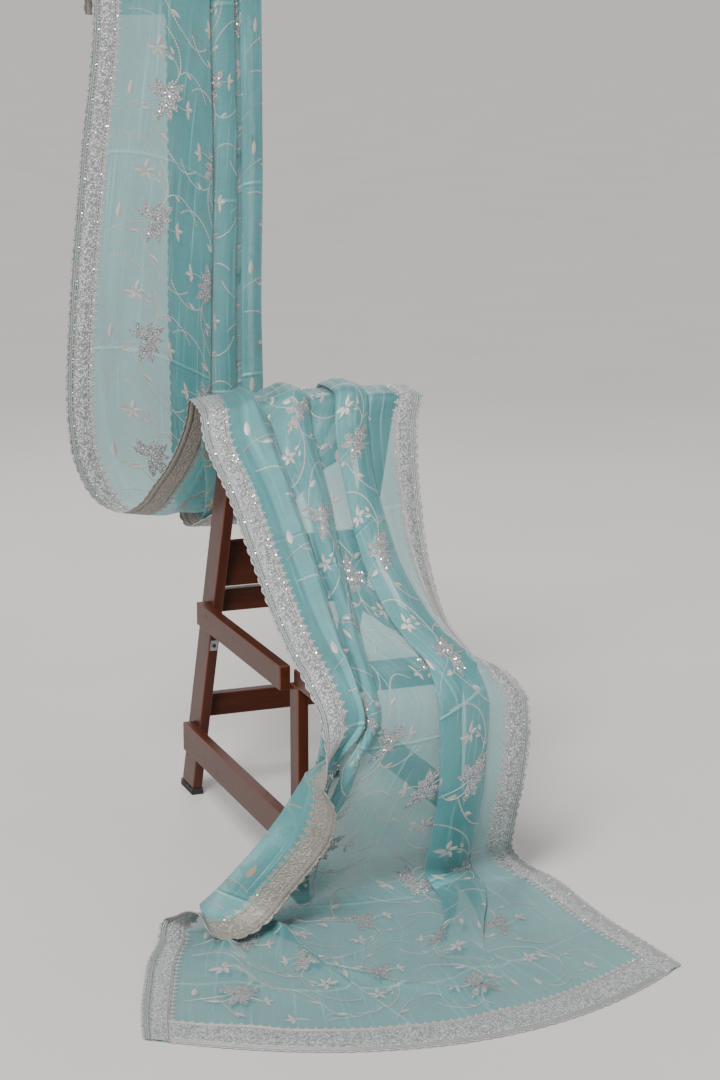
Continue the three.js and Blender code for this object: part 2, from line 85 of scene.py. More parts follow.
class Paint:
    """One socket in a material. Sums and products of these add the Math nodes they need."""

    def __init__(self, tree, socket=None):
        self.tree = tree
        self.socket = socket

    def make(self, kind, settings, sockets, output=0):
        """Adds a node: its settings first, a ramp's stops among them, then its sockets."""
        node = self.tree.nodes.new(kind)
        for name, value in settings.items():
            if name == "stops":
                for extra in value[2:]:
                    node.color_ramp.elements.new(extra[0])
                for element, (place, colour) in zip(node.color_ramp.elements, value):
                    element.position = place
                    element.color = (*colour, 1)
            else:
                setattr(node, name, value)
        for name, value in sockets.items():
            if isinstance(value, Paint):
                self.tree.links.new(value.socket, node.inputs[name])
            else:
                node.inputs[name].default_value = value
        return Paint(self.tree, node.outputs[output])

    def maths(self, operation, *values, clamp=False):
        settings = {"operation": operation, "use_clamp": clamp}
        return self.make("ShaderNodeMath", settings, dict(enumerate(values)))

    def __add__(self, other):
        return self.maths("ADD", self, other)

    def __radd__(self, other):
        return self.maths("ADD", other, self)

    def __sub__(self, other):
        return self.maths("SUBTRACT", self, other)

    def __rsub__(self, other):
        return self.maths("SUBTRACT", other, self)

    def __mul__(self, other):
        return self.maths("MULTIPLY", self, other)

    def __rmul__(self, other):
        return self.maths("MULTIPLY", other, self)

    def __truediv__(self, other):
        return self.maths("DIVIDE", self, other)

    def blend(self, low, high):
        """A colour from low to high as this value goes from 0 to 1."""
        low, high = (c if isinstance(c, Paint) else (*c, 1) for c in (low, high))
        # A mix of colours has its factor at input 0, its ends at 6 and 7, and its result at 2
        sockets = {0: self, 6: low, 7: high}
        return self.make("ShaderNodeMix", {"data_type": "RGBA"}, sockets, output=2)

    def uv(self, name):
        """The place on one of the mesh's UV maps."""
        return self.make("ShaderNodeUVMap", {"uv_map": name}, {})

    def attribute(self, name, output="Fac"):
        """What one of the mesh's attributes says."""
        return self.make("ShaderNodeAttribute", {"attribute_name": name}, {}, output=output)

    def own_place(self):
        """The place in the object's own axes."""
        return self.make("ShaderNodeTexCoord", {}, {}, output="Object")

    def noise(self, place, scale, detail=2, stretch=(1, 1, 1)):
        """Noise from 0 to 1, with its pattern scaled along each axis of place."""
        stretched = self.make("ShaderNodeVectorMath", {"operation": "MULTIPLY"}, {0: place, 1: stretch})
        return self.make("ShaderNodeTexNoise", {}, {"Vector": stretched, "Scale": scale, "Detail": detail})

    def between(self, low, high):
        """0 below low and 1 above high."""
        settings = {"clamp": True, "interpolation_type": "SMOOTHSTEP"}
        sockets = {"Value": self, "From Min": low, "From Max": high}
        return self.make("ShaderNodeMapRange", settings, sockets)

    def bump(self, strength, distance):
        sockets = {"Strength": strength, "Distance": distance, "Height": self}
        return self.make("ShaderNodeBump", {}, sockets)


def material(name, constants):
    """A new material, its first Paint and its shader, with what is the same all over set on it."""
    made = bpy.data.materials.new(name)
    made.use_nodes = True
    shader = made.node_tree.nodes["Principled BSDF"]
    for socket, value in constants.items():
        shader.inputs[socket].default_value = value
    return made, Paint(made.node_tree), shader


def wear(shader, **sockets):
    """Links what changes over the surface to the shader; Base_Color stands for Base Color."""
    for name, value in sockets.items():
        value.tree.links.new(value.socket, shader.inputs[name.replace("_", " ")])


floor_size = 600
floor_sink = 0.0004
floor_ways = [(-1, -1), (1, -1), (1, 1), (-1, 1)]
floor_mesh = bpy.data.meshes.new("floor")
corners = [(x * floor_size, y * floor_size, -floor_sink) for x, y in floor_ways]
floor_mesh.from_pydata(corners, [], [(0, 1, 2, 3)])
floor_paint, floor_start, floor_shader = material("pale floor", {"Roughness": 0.75})
floor_place = floor_start.own_place()
floor_tone = floor_start.noise(floor_place, 1.3).blend((0.60, 0.58, 0.56), (0.66, 0.64, 0.62))
wear(floor_shader, Base_Color=floor_tone)
floor_mesh.materials.append(floor_paint)
add_to_scene("floor", floor_mesh)

# The organza: one length of sheer aqua cloth, 1.1 m wide, crisp enough to stand in folds.
# It comes over the rod, hangs, loops up behind the stand, passes over its top rail, slants to
# the step, falls and spreads. Its sections are those of the solids, here in millimetres.
millimetre = 0.001
cloth_width = 1.1
lace_width = 0.064
left_turn_width = 125
left_flat_width = 80
right_turn_width = 210
turn_radius = 4
least_round = 1.5
open_fold = 24
tuck_opening = 0.05
flip_overlap = 15
room_layers = 6
room_after_first = 5
room_before_second = 3
room_beside_broad = 12
room_beside_lace = 8
swell = [(0.35, 0.6), (0.7, 1)]
least_slant = 0.3
rod_y = 68
rod_z = 1752
rod_wrap = 24.2
rod_wrap_steps = 6
rod_drop = 90
# The sections are measured from the stand's left rear leg, this far from the part's middle.
shift = np.array([-45.9965, 637.2864, 0])

columns = [
    "left_x", "left_y", "left_z", "right_x", "right_y", "right_z", "bow_y", "bow_z",
    "first_in", "first_out", "second_in", "second_out", "broad_in", "broad_out", "spread",
    "left_turn", "right_turn", "first_pitch", "pitch", "puff",
]
hanging = [
    [-172, 46, 1692, 196, 46, 1692, 0, 0, 14, 78, 91, 131, 142, 190, 0, 0, 180, 5, 5, 4],
    [-207, 46, 1370, 196, 46, 1370, 0, 0, 8, 80, 93, 133, 143, 190, 0, 0, 180, 5, 5, 7],
    [-240, 46, 1046, 190, 46, 1046, 0, 0, -6, 72, 86, 127, 138, 184, 0, 0, 180, 5, 5, 9],
    [-249, 46, 879, 192, 46, 885, 0, 0, -6, 68, 83, 126, 138, 186, 0, 0, 180, 5, 5, 9],
    [-244, 44, 785, 192, 46, 795, 0, 0, 0, 70, 84, 128, 138, 186, 0, 0, 178, 5, 5, 9],
    [-224, 38, 710, 192, 42, 706, 0, -4, 10, 76, 90, 132, 142, 186, 0, 0, 176, 5, 5, 9],
]
loop = [
    [-190, 24, 655, 192, 22, 640, 0, -8, 18, 80, 93, 134, 143, 186, 0, 0, 172, 5, 5, 9],
    [-150, -6, 632, 194, -22, 612, 0, -10, 20, 82, 95, 136, 145, 188, 0, 0, 168, 5, 5, 9],
    [-122, -46, 655, 202, -66, 632, 0, -12, 18, 86, 99, 142, 152, 196, 0, 0, 160, 5, 5, 8],
    [-102, -100, 708, 228, -108, 686, 0, -12, 10, 90, 106, 150, 166, 216, 0, 0, 140, 5, 5, 8],
    [-86, -146, 755, 276, -152, 752, 0, -6, -6, 92, 112, 160, 178, 238, 0, 0, 90, 5, 5, 8],
    [-74, -186, 806, 346, -192, 822, 0, 0, -24, 82, 108, 160, 190, 256, 0, 0, 20, 5, 5, 8],
    [-68, -226, 864, 392, -232, 882, 0, 8, -34, 62, 100, 152, 200, 268, 0, 0, 5, 5, 5, 8],
    [-72, -262, 908, 398, -263, 920, 0, 12, -44, 46, 94, 147, 203, 272, 0, 0, 0, 5, 5, 8],
]
front = [
    [-80, -344, 900, 397, -344, 914, 0, 16, -50, 42, 92, 146, 203, 272, 0, 0, 0, 5, 5, 10],
    [-84, -374, 858, 378, -376, 862, 0, 8, -52, 62, 92, 144, 192, 262, 0, 0, -6, 5, 5, 12],
    [-64, -474, 750, 349, -476, 752, 0, 4, -38, 68, 90, 141, 176, 242, 0, 0, -18, 5, 5, 14],
    [-52, -574, 645, 333, -574, 648, 0, 0, -28, 76, 90, 130, 170, 242, 0, 0, -32, 5, 5, 14],
    [-41, -660, 556, 334, -662, 560, 0, 0, -18, 79, 92, 124, 184, 264, 0, 0, -45, 5, 5, 12],
    [-30, -716, 502, 362, -716, 505, 0, 0, -8, 80, 93, 122, 210, 294, 0, 0, -45, 5, 5, 9],
    [-19, -764, 462, 404, -764, 464, 0, 0, 0, 84, 97, 120, 234, 328, 0, 0, -30, 5, 5, 6],
]
fall = [
    [-4, -798, 392, 438, -798, 388, 0, 0, 6, 90, 102, 124, 240, 344, 0, 14, -10, 5, 5, 6],
    [-28, -802, 322, 436, -796, 312, 0, 0, -4, 44, 58, 86, 243, 341, 0, 80, 0, 5, 5, 10],
    [-72, -800, 252, 430, -790, 232, 0, 0, -40, 10, 24, 56, 243, 338, 0, 125, 0, 5, 5, 12],
    [-114, -788, 192, 425, -772, 165, 0, 0, -80, -28, -14, 14, 241, 336, 0, 142, 0, 5, 5, 14],
    [-176, -764, 112, 428, -742, 92, 0, 0, -130, -76, -62, -34, 240, 338, 0, 146, 0, 5, 5, 14],
    [-238, -740, 42, 462, -706, 36, 0, 0, -176, -122, -106, -76, 248, 350, 0, 75, 0, 5, 5, 12],
]
spread = [
    [-292, -752, 2, 512, -716, 2, -20, 0, -190, -150, -120, -88, 262, 366, 0, 20, 0, 4, 5, 12],
    [-318, -800, 1, 521, -786, 1, -45, 0, -160, -170, -90, -66, 240, 336, 0.15, 0, 0, 2.5, 4.5, 13],
    [-352, -862, 1, 519, -868, 1, -75, 0, -130, -180, -50, -70, 196, 284, 0.4, 0, 0, 1.5, 4, 13],
    [-388, -958, 1, 520, -968, 1, -110, 0, -120, -200, -10, -50, 150, 226, 0.7, 0, 0, 1, 3, 10],
    [-428, -1078, 1, 535, -1112, 1, -158, 0, -120, -220, 40, -10, 120, 190, 1, 0, 0, 0.2, 0.4, 4],
    [-452, -1171, 1, 544, -1219, 1, -186, 0, -120, -220, 60, 10, 110, 180, 1, 0, 0, 0, 0, 0],
]


def rod_rows():
    """The first hanging section, repeated down the back and over the rod."""
    angles = [0] + [math.pi * i / rod_wrap_steps for i in range(rod_wrap_steps + 1)]
    rows = []
    for number, angle in enumerate(angles):
        row = list(hanging[0])
        row[1] = row[4] = rod_y + rod_wrap * math.cos(angle)
        row[2] = row[5] = rod_z + rod_wrap * math.sin(angle) - (rod_drop if number == 0 else 0)
        rows.append(row)
    return rows


over_rod = rod_rows()
sections = np.array(over_rod + hanging + loop + front + fall + spread, float)
middles = (sections[:, 0:3] + sections[:, 3:6]) / 2
spans = np.linalg.norm(np.diff(middles, axis=0), axis=1)
rises = np.diff(sections, axis=0) / spans[:, None]
slopes = np.zeros_like(sections)
steady = rises[:-1] * rises[1:] > 0
total = np.where(steady, rises[:-1] + rises[1:], 1)
slopes[1:-1] = np.where(steady, 2 * rises[:-1] * rises[1:] / total, 0)


def row_at(index):
    """Every column at these places between the sections, as arrays under the columns' names."""
    i = np.clip(np.floor(index).astype(int), 0, len(sections) - 2)
    t = (index - i)[:, None]
    ends = sections[i] * (1 + 2 * t) * (1 - t) ** 2 + sections[i + 1] * t * t * (3 - 2 * t)
    bends = slopes[i] * t * (1 - t) ** 2 - slopes[i + 1] * t * t * (1 - t)
    return dict(zip(columns, (ends + spans[i][:, None] * bends).T))


def fold_turns(points, inner, outer, pitch):
    half = pitch / 2
    round_ = np.maximum(half, least_round)
    flip = np.clip((outer - inner) / flip_overlap, -1, 1) * round_
    top = 2 * pitch
    points += [(outer - round_, top), (outer, top - half), (outer - flip, pitch)]
    points += [(inner + flip, pitch), (inner, half), (inner + round_, 0 * pitch)]


def broad_depth(inner, outer, opened):
    return ((outer - inner) / 2 - room_layers) * (1 - 2 * opened)


def broad_fold(points, inner, outer, opened, pitch, puff):
    half = pitch / 2
    round_ = np.maximum(half, least_round)
    depth = broad_depth(inner, outer, opened)
    flip = np.clip(depth / flip_overlap, -1, 1) * round_
    near = inner + depth
    far = outer - depth
    top = 2 * pitch
    base = 0 * pitch
    points += [(near - round_, base), (near, half), (near - flip, pitch)]
    points += [(inner + flip, pitch), (inner, top - half), (inner + round_, top)]
    points.append(((inner + outer) / 2, top + puff))
    points += [(outer - round_, top), (outer, top - half), (outer - flip, pitch)]
    points += [(far + flip, pitch), (far, half), (far + round_, base)]


def edge_strip(width, turn_line, side, turn, lift):
    away = np.cos(turn)
    lace = lace_width / millimetre
    strip = [width, width - lace / 2, width - lace, (width - lace) / 2]
    round_ = turn_radius * (1 - away)
    points = [(turn_line + side * d * away, round_ + d * lift) for d in strip]
    points.append((turn_line - side * round_ / 2, round_ / 2))
    return points


def section_points(row):
    """Each section as points: how far along its line, and how high above it."""
    left = np.stack([row["left_x"], row["left_y"], row["left_z"]], 1)
    right = np.stack([row["right_x"], row["right_y"], row["right_z"]], 1)
    width = np.linalg.norm(right - left, axis=1)

    def along(name):
        return (row[name] - row["left_x"]) / (row["right_x"] - row["left_x"]) * width

    left_turn = np.radians(row["left_turn"])
    right_turn = np.radians(np.abs(row["right_turn"]))
    turned = (1 - np.cos(left_turn)) / 2
    left_width = left_flat_width + (left_turn_width - left_flat_width) * turned
    left_line = left_width * np.maximum(0, np.cos(left_turn))
    first_top = 2 * row["first_pitch"]
    first_in, first_out = along("first_in"), along("first_out")
    second_in, second_out = along("second_in"), along("second_out")
    broad_in, broad_out = along("broad_in"), along("broad_out")
    second_start = np.minimum(second_in, second_out - open_fold) - room_before_second
    slant = np.maximum(np.cos(right_turn), least_slant)
    least_right = lace_width / millimetre + room_beside_lace
    right_flat = np.clip((width - broad_out - room_beside_broad) / slant, least_right, right_turn_width)
    folded = (1 - np.cos(right_turn)) / 2
    right_width = right_flat + (right_turn_width - right_flat) * folded ** 2
    right_line = width - right_width * np.maximum(0, np.cos(right_turn))
    droop = np.where(row["right_turn"] < 0, 1, tuck_opening)

    points = edge_strip(left_width, left_line, -1, left_turn, np.sin(left_turn))
    points = [(a, h + first_top) for a, h in points]
    start = left_line + room_layers
    points.append((start, first_top))
    for run, puff in swell:
        points.append((start + (first_out - start) * run, first_top + row["puff"] * puff))
    fold_turns(points, first_in, first_out, row["first_pitch"])
    flat = 0 * width
    points.append((np.maximum(first_in, first_out) + room_after_first, flat))
    points.append((second_start, 2 * row["pitch"]))
    points.append(((second_start + second_out) / 2, 2 * row["pitch"] + row["puff"]))
    fold_turns(points, second_in, second_out, row["pitch"])
    broad_start = broad_in + np.minimum(0, broad_depth(broad_in, broad_out, row["spread"]))
    points.append(((np.maximum(second_in, second_out) + broad_start) / 2, flat))
    broad_fold(points, broad_in, broad_out, row["spread"], row["pitch"], row["puff"])
    right_edge = edge_strip(right_width, right_line, 1, right_turn, np.sin(right_turn) * droop)
    points += [(a, -h) for a, h in reversed(right_edge)]
    return np.array([[a, h] for a, h in points]).transpose(2, 0, 1), left, right, width


def smooth_across(points, lengths):
    """A smooth line through each section's points, with its own count of steps for each gap."""
    gaps = np.sqrt(np.maximum(np.linalg.norm(np.diff(points, axis=1), axis=2), 0.01))[:, :, None]
    rates = np.diff(points, axis=1) / gaps
    tangents = np.zeros_like(points)
    tangents[:, 0] = rates[:, 0]
    tangents[:, -1] = rates[:, -1]
    weights = gaps[:, :-1] + gaps[:, 1:]
    tangents[:, 1:-1] = (rates[:, :-1] * gaps[:, 1:] + rates[:, 1:] * gaps[:, :-1]) / weights
    pieces = []
    for j, steps in enumerate(lengths):
        t = (np.arange(steps) / steps)[None, :, None]
        a, b = points[:, j, None], points[:, j + 1, None]
        into, out = tangents[:, j, None], tangents[:, j + 1, None]
        ends = a * (1 + 2 * t) * (1 - t) ** 2 + b * t * t * (3 - 2 * t)
        bends = into * t * (1 - t) ** 2 - out * t * t * (1 - t)
        pieces.append(ends + gaps[:, j, None] * bends)
    pieces.append(points[:, -1:])
    return np.concatenate(pieces, axis=1)


step_across = 9
step_along = 8
fewest_steps = 2
most_steps = 16
row_counts = np.maximum(1, np.ceil(spans / step_along)).astype(int)
index = np.concatenate([i + np.arange(n) / n for i, n in enumerate(row_counts)] + [[len(sections) - 1]])
row = row_at(index)
points, left_ends, right_ends, widths = section_points(row)
usual = np.median(np.linalg.norm(np.diff(points, axis=1), axis=2), axis=0)
steps_across = np.clip(np.ceil(usual / step_across), fewest_steps, most_steps).astype(int)
profile = smooth_across(points, steps_across)


def middle_at(place):
    r = row_at(np.clip(place, 0, len(sections) - 1))
    y = (r["left_y"] + r["right_y"]) / 2 + r["bow_y"]
    z = (r["left_z"] + r["right_z"]) / 2 + r["bow_z"]
    return np.stack([0 * y, y, z], 1)


def unit(vectors):
    return vectors / np.maximum(np.linalg.norm(vectors, axis=-1, keepdims=True), 1e-9)


across = unit(right_ends - left_ends)
ahead = unit(middle_at(index + 0.25) - middle_at(index - 0.25))
upward = unit(np.cross(ahead, across))
share = profile[:, :, 0] / widths[:, None]
bow_share = (4 * share * (1 - share))[:, :, None]
bow_reach = np.stack([0 * row["bow_y"], row["bow_y"], row["bow_z"]], 1)[:, None]
sheet = left_ends[:, None] + across[:, None] * profile[:, :, :1] + upward[:, None] * profile[:, :, 1:]
sheet = (sheet + bow_share * bow_reach + shift) * millimetre


def grid_normals(grid):
    down = np.gradient(grid, axis=0)
    side = np.gradient(grid, axis=1)
    return unit(np.cross(down, side))


def place_across(grid):
    """Each point's place across the flat cloth, true from either edge and eased between."""
    lengths = np.linalg.norm(np.diff(grid, axis=1), axis=2)
    run = np.concatenate([np.zeros((len(grid), 1)), np.cumsum(lengths, axis=1)], axis=1)
    true_edge = 0.2
    whole = run[:, -1:]
    eased = true_edge + (run - true_edge) * (cloth_width - 2 * true_edge) / (whole - 2 * true_edge)
    from_right = cloth_width - (whole - run)
    return np.where(run < true_edge, run, np.where(run > whole - true_edge, from_right, eased))


# A table of the draped cloth over its flat width and length, which places all that is on it
flat_u = place_across(sheet)
table_step = 0.0025
blur_width = 0.08
table_u = np.arange(0, cloth_width + table_step / 2, table_step)


def over_width(values):
    channels = [[np.interp(table_u, u, v[:, c]) for c in range(v.shape[1])] for u, v in zip(flat_u, values)]
    return np.array(channels).transpose(0, 2, 1)


threads = over_width(sheet)
thread_steps = np.linalg.norm(np.diff(threads, axis=0), axis=2)
thread_length = np.cumsum(np.concatenate([thread_steps, np.zeros((1, len(table_u)))])[::-1], axis=0)[::-1]
blur = np.exp(-0.5 * ((table_u[:, None] - table_u[None]) / blur_width) ** 2)
thread_length = thread_length @ (blur / blur.sum(0))
flat_v = np.array([np.interp(u, table_u, line) for u, line in zip(flat_u, thread_length)])
cloth_length = float(thread_length[0].max())

# Soft creases: where each is on the flat cloth, how long and wide it is, how
# high it stands off the drape, and how far it turns from running along the cloth.
crease_columns = ["u", "v", "length", "width", "height", "turn"]
creases = [
    [0.22, 0.25, 0.15, 0.014, 0.007, -52],
    [0.50, 0.27, 0.20, 0.016, 0.009, -56],
    [0.35, 0.33, 0.12, 0.012, 0.005, -46],
    [0.62, 0.20, 0.12, 0.013, 0.005, -62],
    [0.80, 0.24, 0.14, 0.014, 0.006, -30],
    [0.92, 0.34, 0.12, 0.012, 0.005, 24],
    [0.14, 0.36, 0.10, 0.012, 0.005, -66],
    [0.44, 0.50, 0.16, 0.016, 0.005, -10],
    [0.56, 0.62, 0.14, 0.012, 0.004, 8],
    [0.40, 0.78, 0.16, 0.012, 0.004, 4],
    [0.52, 0.92, 0.12, 0.010, 0.003, -8],
    [0.47, 1.18, 0.14, 0.010, 0.003, 3],
    [0.92, 1.46, 0.16, 0.010, 0.003, -4],
    [0.13, 1.52, 0.16, 0.010, 0.003, 3],
    [0.94, 0.62, 0.12, 0.010, 0.004, 5],
    [0.98, 0.80, 0.20, 0.018, 0.004, 6],
    [0.10, 0.95, 0.22, 0.016, 0.003, -6],
    [0.46, 1.00, 0.24, 0.020, 0.003, 2],
    [0.99, 1.20, 0.20, 0.016, 0.003, -5],
    [0.12, 2.20, 0.26, 0.022, 0.005, 5],
    [0.17, 2.60, 0.28, 0.024, 0.005, -4],
    [0.11, 2.95, 0.22, 0.018, 0.004, 3],
    [0.22, 2.40, 0.24, 0.018, 0.004, -2],
    [0.15, 2.75, 0.30, 0.009, 0.003, 2],
    [0.20, 3.10, 0.26, 0.009, 0.003, -3],
    [0.30, 2.80, 0.30, 0.010, 0.003, 1],
    [0.09, 2.50, 0.20, 0.009, 0.003, -5],
    [0.90, 2.70, 0.30, 0.010, 0.003, 2],
]


def crease_height(u, v):
    height = 0 * u
    for crease in creases:
        c = dict(zip(crease_columns, crease))
        turn = math.radians(c["turn"])
        along = (v - c["v"]) * math.cos(turn) + (u - c["u"]) * math.sin(turn)
        aside = (u - c["u"]) * math.cos(turn) - (v - c["v"]) * math.sin(turn)
        height = height + c["height"] * np.exp(-((aside / c["width"]) ** 2) - (along / c["length"]) ** 2)
    return height


# Creases are pushed out of the drape, but the cloth never sinks into the floor
least_height = 0.0006
normals = grid_normals(sheet)
sheet = sheet + normals * crease_height(flat_u, flat_v)[:, :, None]
sheet[:, :, 2] = np.maximum(sheet[:, :, 2], least_height)
normals = grid_normals(sheet)
threads = over_width(sheet)
thread_normals = unit(over_width(normals))
table_v = np.arange(0, thread_length.max(), table_step)


def over_length(values):
    """Sorts a table of threads by length, so that it can be read at any place on the cloth."""
    table = np.empty((len(table_u), len(table_v), 3))
    for i in range(len(table_u)):
        for c in range(3):
            table[i, :, c] = np.interp(table_v, thread_length[::-1, i], values[::-1, i, c])
    return table


place_table = over_length(threads)
normal_table = unit(over_length(thread_normals))


def read_table(table, u, v):
    i = np.clip(u / table_step, 0, len(table_u) - 1.001)
    j = np.clip(v / table_step, 0, len(table_v) - 1.001)
    i0, j0 = i.astype(int), j.astype(int)
    s, t = (i - i0)[:, None], (j - j0)[:, None]
    near = table[i0, j0] * (1 - s) + table[i0 + 1, j0] * s
    far = table[i0, j0 + 1] * (1 - s) + table[i0 + 1, j0 + 1] * s
    return near * (1 - t) + far * t


def add_grid(name, grid, grid_normals_, u, v, paint):
    """A grid of points as a mesh, with its place on the flat cloth as a UV map."""
    n, m = grid.shape[:2]
    at = np.arange(n * m).reshape(n, m)
    faces = np.stack([at[:-1, :-1], at[1:, :-1], at[1:, 1:], at[:-1, 1:]], -1).reshape(-1, 4)
    mesh = bpy.data.meshes.new(name)
    mesh.from_pydata(grid.reshape(-1, 3).tolist(), [], faces.tolist())
    flat = mesh.uv_layers.new(name="flat cloth")
    uv = np.stack([u.ravel(), v.ravel()], 1)[faces.ravel()]
    flat.data.foreach_set("uv", uv.ravel())
    mesh.polygons.foreach_set("use_smooth", [True] * len(mesh.polygons))
    mesh.normals_split_custom_set_from_vertices(grid_normals_.reshape(-1, 3).tolist())
    mesh.materials.append(paint)
    return add_to_scene(name, mesh)


organza_constants = {
    "Metallic": 0.18,
    "Specular IOR Level": 0.7,
    "Sheen Weight": 0.6,
    "Sheen Roughness": 0.3,
    "Sheen Tint": (0.85, 1, 1, 1),
}
organza_paint, organza, organza_shader = material("organza", organza_constants)
flat_place = organza.uv("flat cloth")
flat_axes = organza.make("ShaderNodeSeparateXYZ", {}, {"Vector": flat_place})
flat_along = Paint(organza.tree, flat_axes.socket.node.outputs[1])
warp_slubs = organza.noise(flat_place, 1, 3, (900, 12, 1))
weft_slubs = organza.noise(flat_place, 1, 3, (14, 1100, 1))
slubs = warp_slubs * 0.5 + weft_slubs * 0.5
broad_tone = organza.noise(flat_place, 7, 2)
weave_pitch = 0.0009
warp = organza.maths("SINE", flat_axes * (2 * math.pi / weave_pitch))
weft = organza.maths("SINE", flat_along * (2 * math.pi / weave_pitch))
weave = warp * weft
storage_pitch = 0.405
storage_start = 0.155
storage_fold = organza.maths("PINGPONG", flat_along + storage_start, storage_pitch / 2)
storage_ridge = 1 - storage_fold.between(0, 0.006)
# Soft lines along the warp: fine wrinkles in the bump and the see-through, and painted highlights in the
# colour.
warp_wrinkles_and_highlights = organza.noise(flat_place, 1, 3, (95, 3.2, 1)).between(0.52, 0.78)
# The colour: random slubs and broad tone, plus painted highlights along the soft warp lines and on the
# storage creases' ridges.
tone_and_painted_highlights = slubs * 0.6 + broad_tone * 0.4 + warp_wrinkles_and_highlights * 0.35 + storage_ridge * 0.3 - 0.15
organza_tone = tone_and_painted_highlights.blend((0.025, 0.20, 0.22), (0.25, 0.60, 0.61))
organza_alpha = organza.maths("ADD", 0.54 + slubs * 0.2 + warp_wrinkles_and_highlights * 0.14, weave * 0.05, clamp=True)
wrinkles = organza.noise(flat_place, 22, 3, (1, 0.35, 1))
organza_height = slubs * 0.10 + weave * 0.04 + wrinkles * 2.2 + warp_wrinkles_and_highlights * 0.7 + storage_ridge * 1.2
wear(
    organza_shader,
    Base_Color=organza_tone,
    Alpha=organza_alpha,
    Roughness=0.26 + slubs * 0.2,
    Normal=organza_height.bump(0.7, 0.0022),
)

first_row = len(over_rod)
loop_start = first_row + len(hanging)
front_start = loop_start + len(loop)
fall_start = front_start + len(front)
spread_start = fall_start + len(fall)
stretches = [
    {"name": "rod_end", "from": 0, "to": first_row, "held": "hung", "rests_on": "rod"},
    {"name": "hanging", "from": first_row, "to": loop_start, "held": "hung", "rests_on": "rod"},
    {"name": "rise", "from": loop_start, "to": front_start, "held": "draped", "rests_on": "rail_top"},
    {"name": "front", "from": front_start, "to": fall_start, "held": "draped", "rests_on": "step_board"},
    {"name": "fall", "from": fall_start, "to": spread_start, "held": "draped", "rests_on": "step_board"},
    {"name": "floor", "from": spread_start, "to": len(sections) - 1, "held": "laid", "rests_on": ()},
]
cut_back = 0.009


def drape_points(flat):
    """Lays flat points, with their height off the cloth, on the draped cloth."""
    u, v, h = flat[:, 0], flat[:, 1], flat[:, 2]
    return read_table(place_table, u, v) + unit(read_table(normal_table, u, v)) * h[:, None]


for stretch in stretches:
    lines = (index >= stretch["from"] - 1e-6) & (index <= stretch["to"] + 1e-6)
    stretch["ends"] = thread_length[lines][[0, -1]]
    if stretch["name"] == "floor":
        # The end lace is sewn over the raw edge, so the organza stops a row short of it
        lines[-1] = False
    kept = flat_v[lines]
    grid_u = np.clip(flat_u[lines], cut_back, cloth_width - cut_back)
    grid = sheet[lines].copy()
    for side, limit in ((0, cut_back), (-1, cloth_width - cut_back)):
        for k, (us, line) in enumerate(zip(flat_u[lines], grid)):
            grid[k, side] = [np.interp(limit, us, line[:, c]) for c in range(3)]
    stretch["cloth"] = add_grid(
        "organza_" + stretch["name"], grid, normals[lines], grid_u, kept, organza_paint
    )

for stretch in stretches:
    cloth = stretch["cloth"]
    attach(cloth, "root")
    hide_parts("cloth_" + stretch["name"])
    if stretch["name"] == "rise":
        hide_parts("cloth_loop")

# The silver embroidery: big pointed flowers, small five-petalled ones and satin leaves, joined
# by vines of chain stitch, and sequins on the big petals. It is worked through the flat cloth,
# so its plain brownish underside shows on the reverse, and it is draped with the cloth.
stitch_height = 0.0007
stitch_under = -0.0003
petal_tip = 0.0002


def petal(points, faces, stitches, length, width, turn, start, steps, jag):
    """Adds one pointed satin petal, raised along its middle, with a flat underside."""
    for side_height, middle_height in ((0.0001, stitch_height), (stitch_under, stitch_under)):
        first = len(points)
        for i in range(steps + 1):
            t = i / steps
            half = petal_tip
            if 0 < i < steps:
                notch = 1 + jag * (1 if i % 2 else -1)
                half = width / 2 * math.sin(math.pi * t ** 0.8) ** 0.85 * notch
            for side, height in ((-1, side_height), (0, middle_height), (1, side_height)):
                along, aside = start + t * length, side * half
                x = along * math.cos(turn) - aside * math.sin(turn)
                y = along * math.sin(turn) + aside * math.cos(turn)
                points.append((x, y, height))
                stitches.append((aside, along))
        for i in range(steps):
            for j in range(2):
                a = first + 3 * i + j
                ring = (a, a + 3, a + 4, a + 1)
                faces.append(ring if side_height > 0 else ring[::-1])


def disc(points, faces, stitches, x, y, radius, height, sides=6):
    """Adds one flat sequin, tilted a little so that each catches the light its own way."""
    first = len(points)
    for i in range(sides):
        angle = 2 * math.pi * i / sides
        tilt = 0.4 * radius * math.sin(angle + 137 * x + 291 * y)
        points.append((x + radius * math.cos(angle), y + radius * math.sin(angle), height + tilt))
        stitches.append((0, 0))
    faces.append(tuple(range(first, first + sides)))


def motif(name, petals, sequins=(), steps=6, jag=0.0):
    """A small flat mesh from a table of petals, or of sequins, to be strewn over the cloth."""
    points, faces, stitches = [], [], []
    for length, width, turn, start in petals:
        petal(points, faces, stitches, length, width, math.radians(turn), start, steps, jag)
    for x, y, radius in sequins:
        disc(points, faces, stitches, x, y, radius, stitch_height + 0.0004)
    mesh = bpy.data.meshes.new(name)
    mesh.from_pydata(points, [], faces)
    layer = mesh.uv_layers.new(name="stitch")
    corner = [v for face in faces for v in face]
    layer.data.foreach_set("uv", np.array([stitches[v] for v in corner]).ravel())
    mesh.polygons.foreach_set("use_smooth", [True] * len(faces))
    return bpy.data.objects.new(name, mesh)


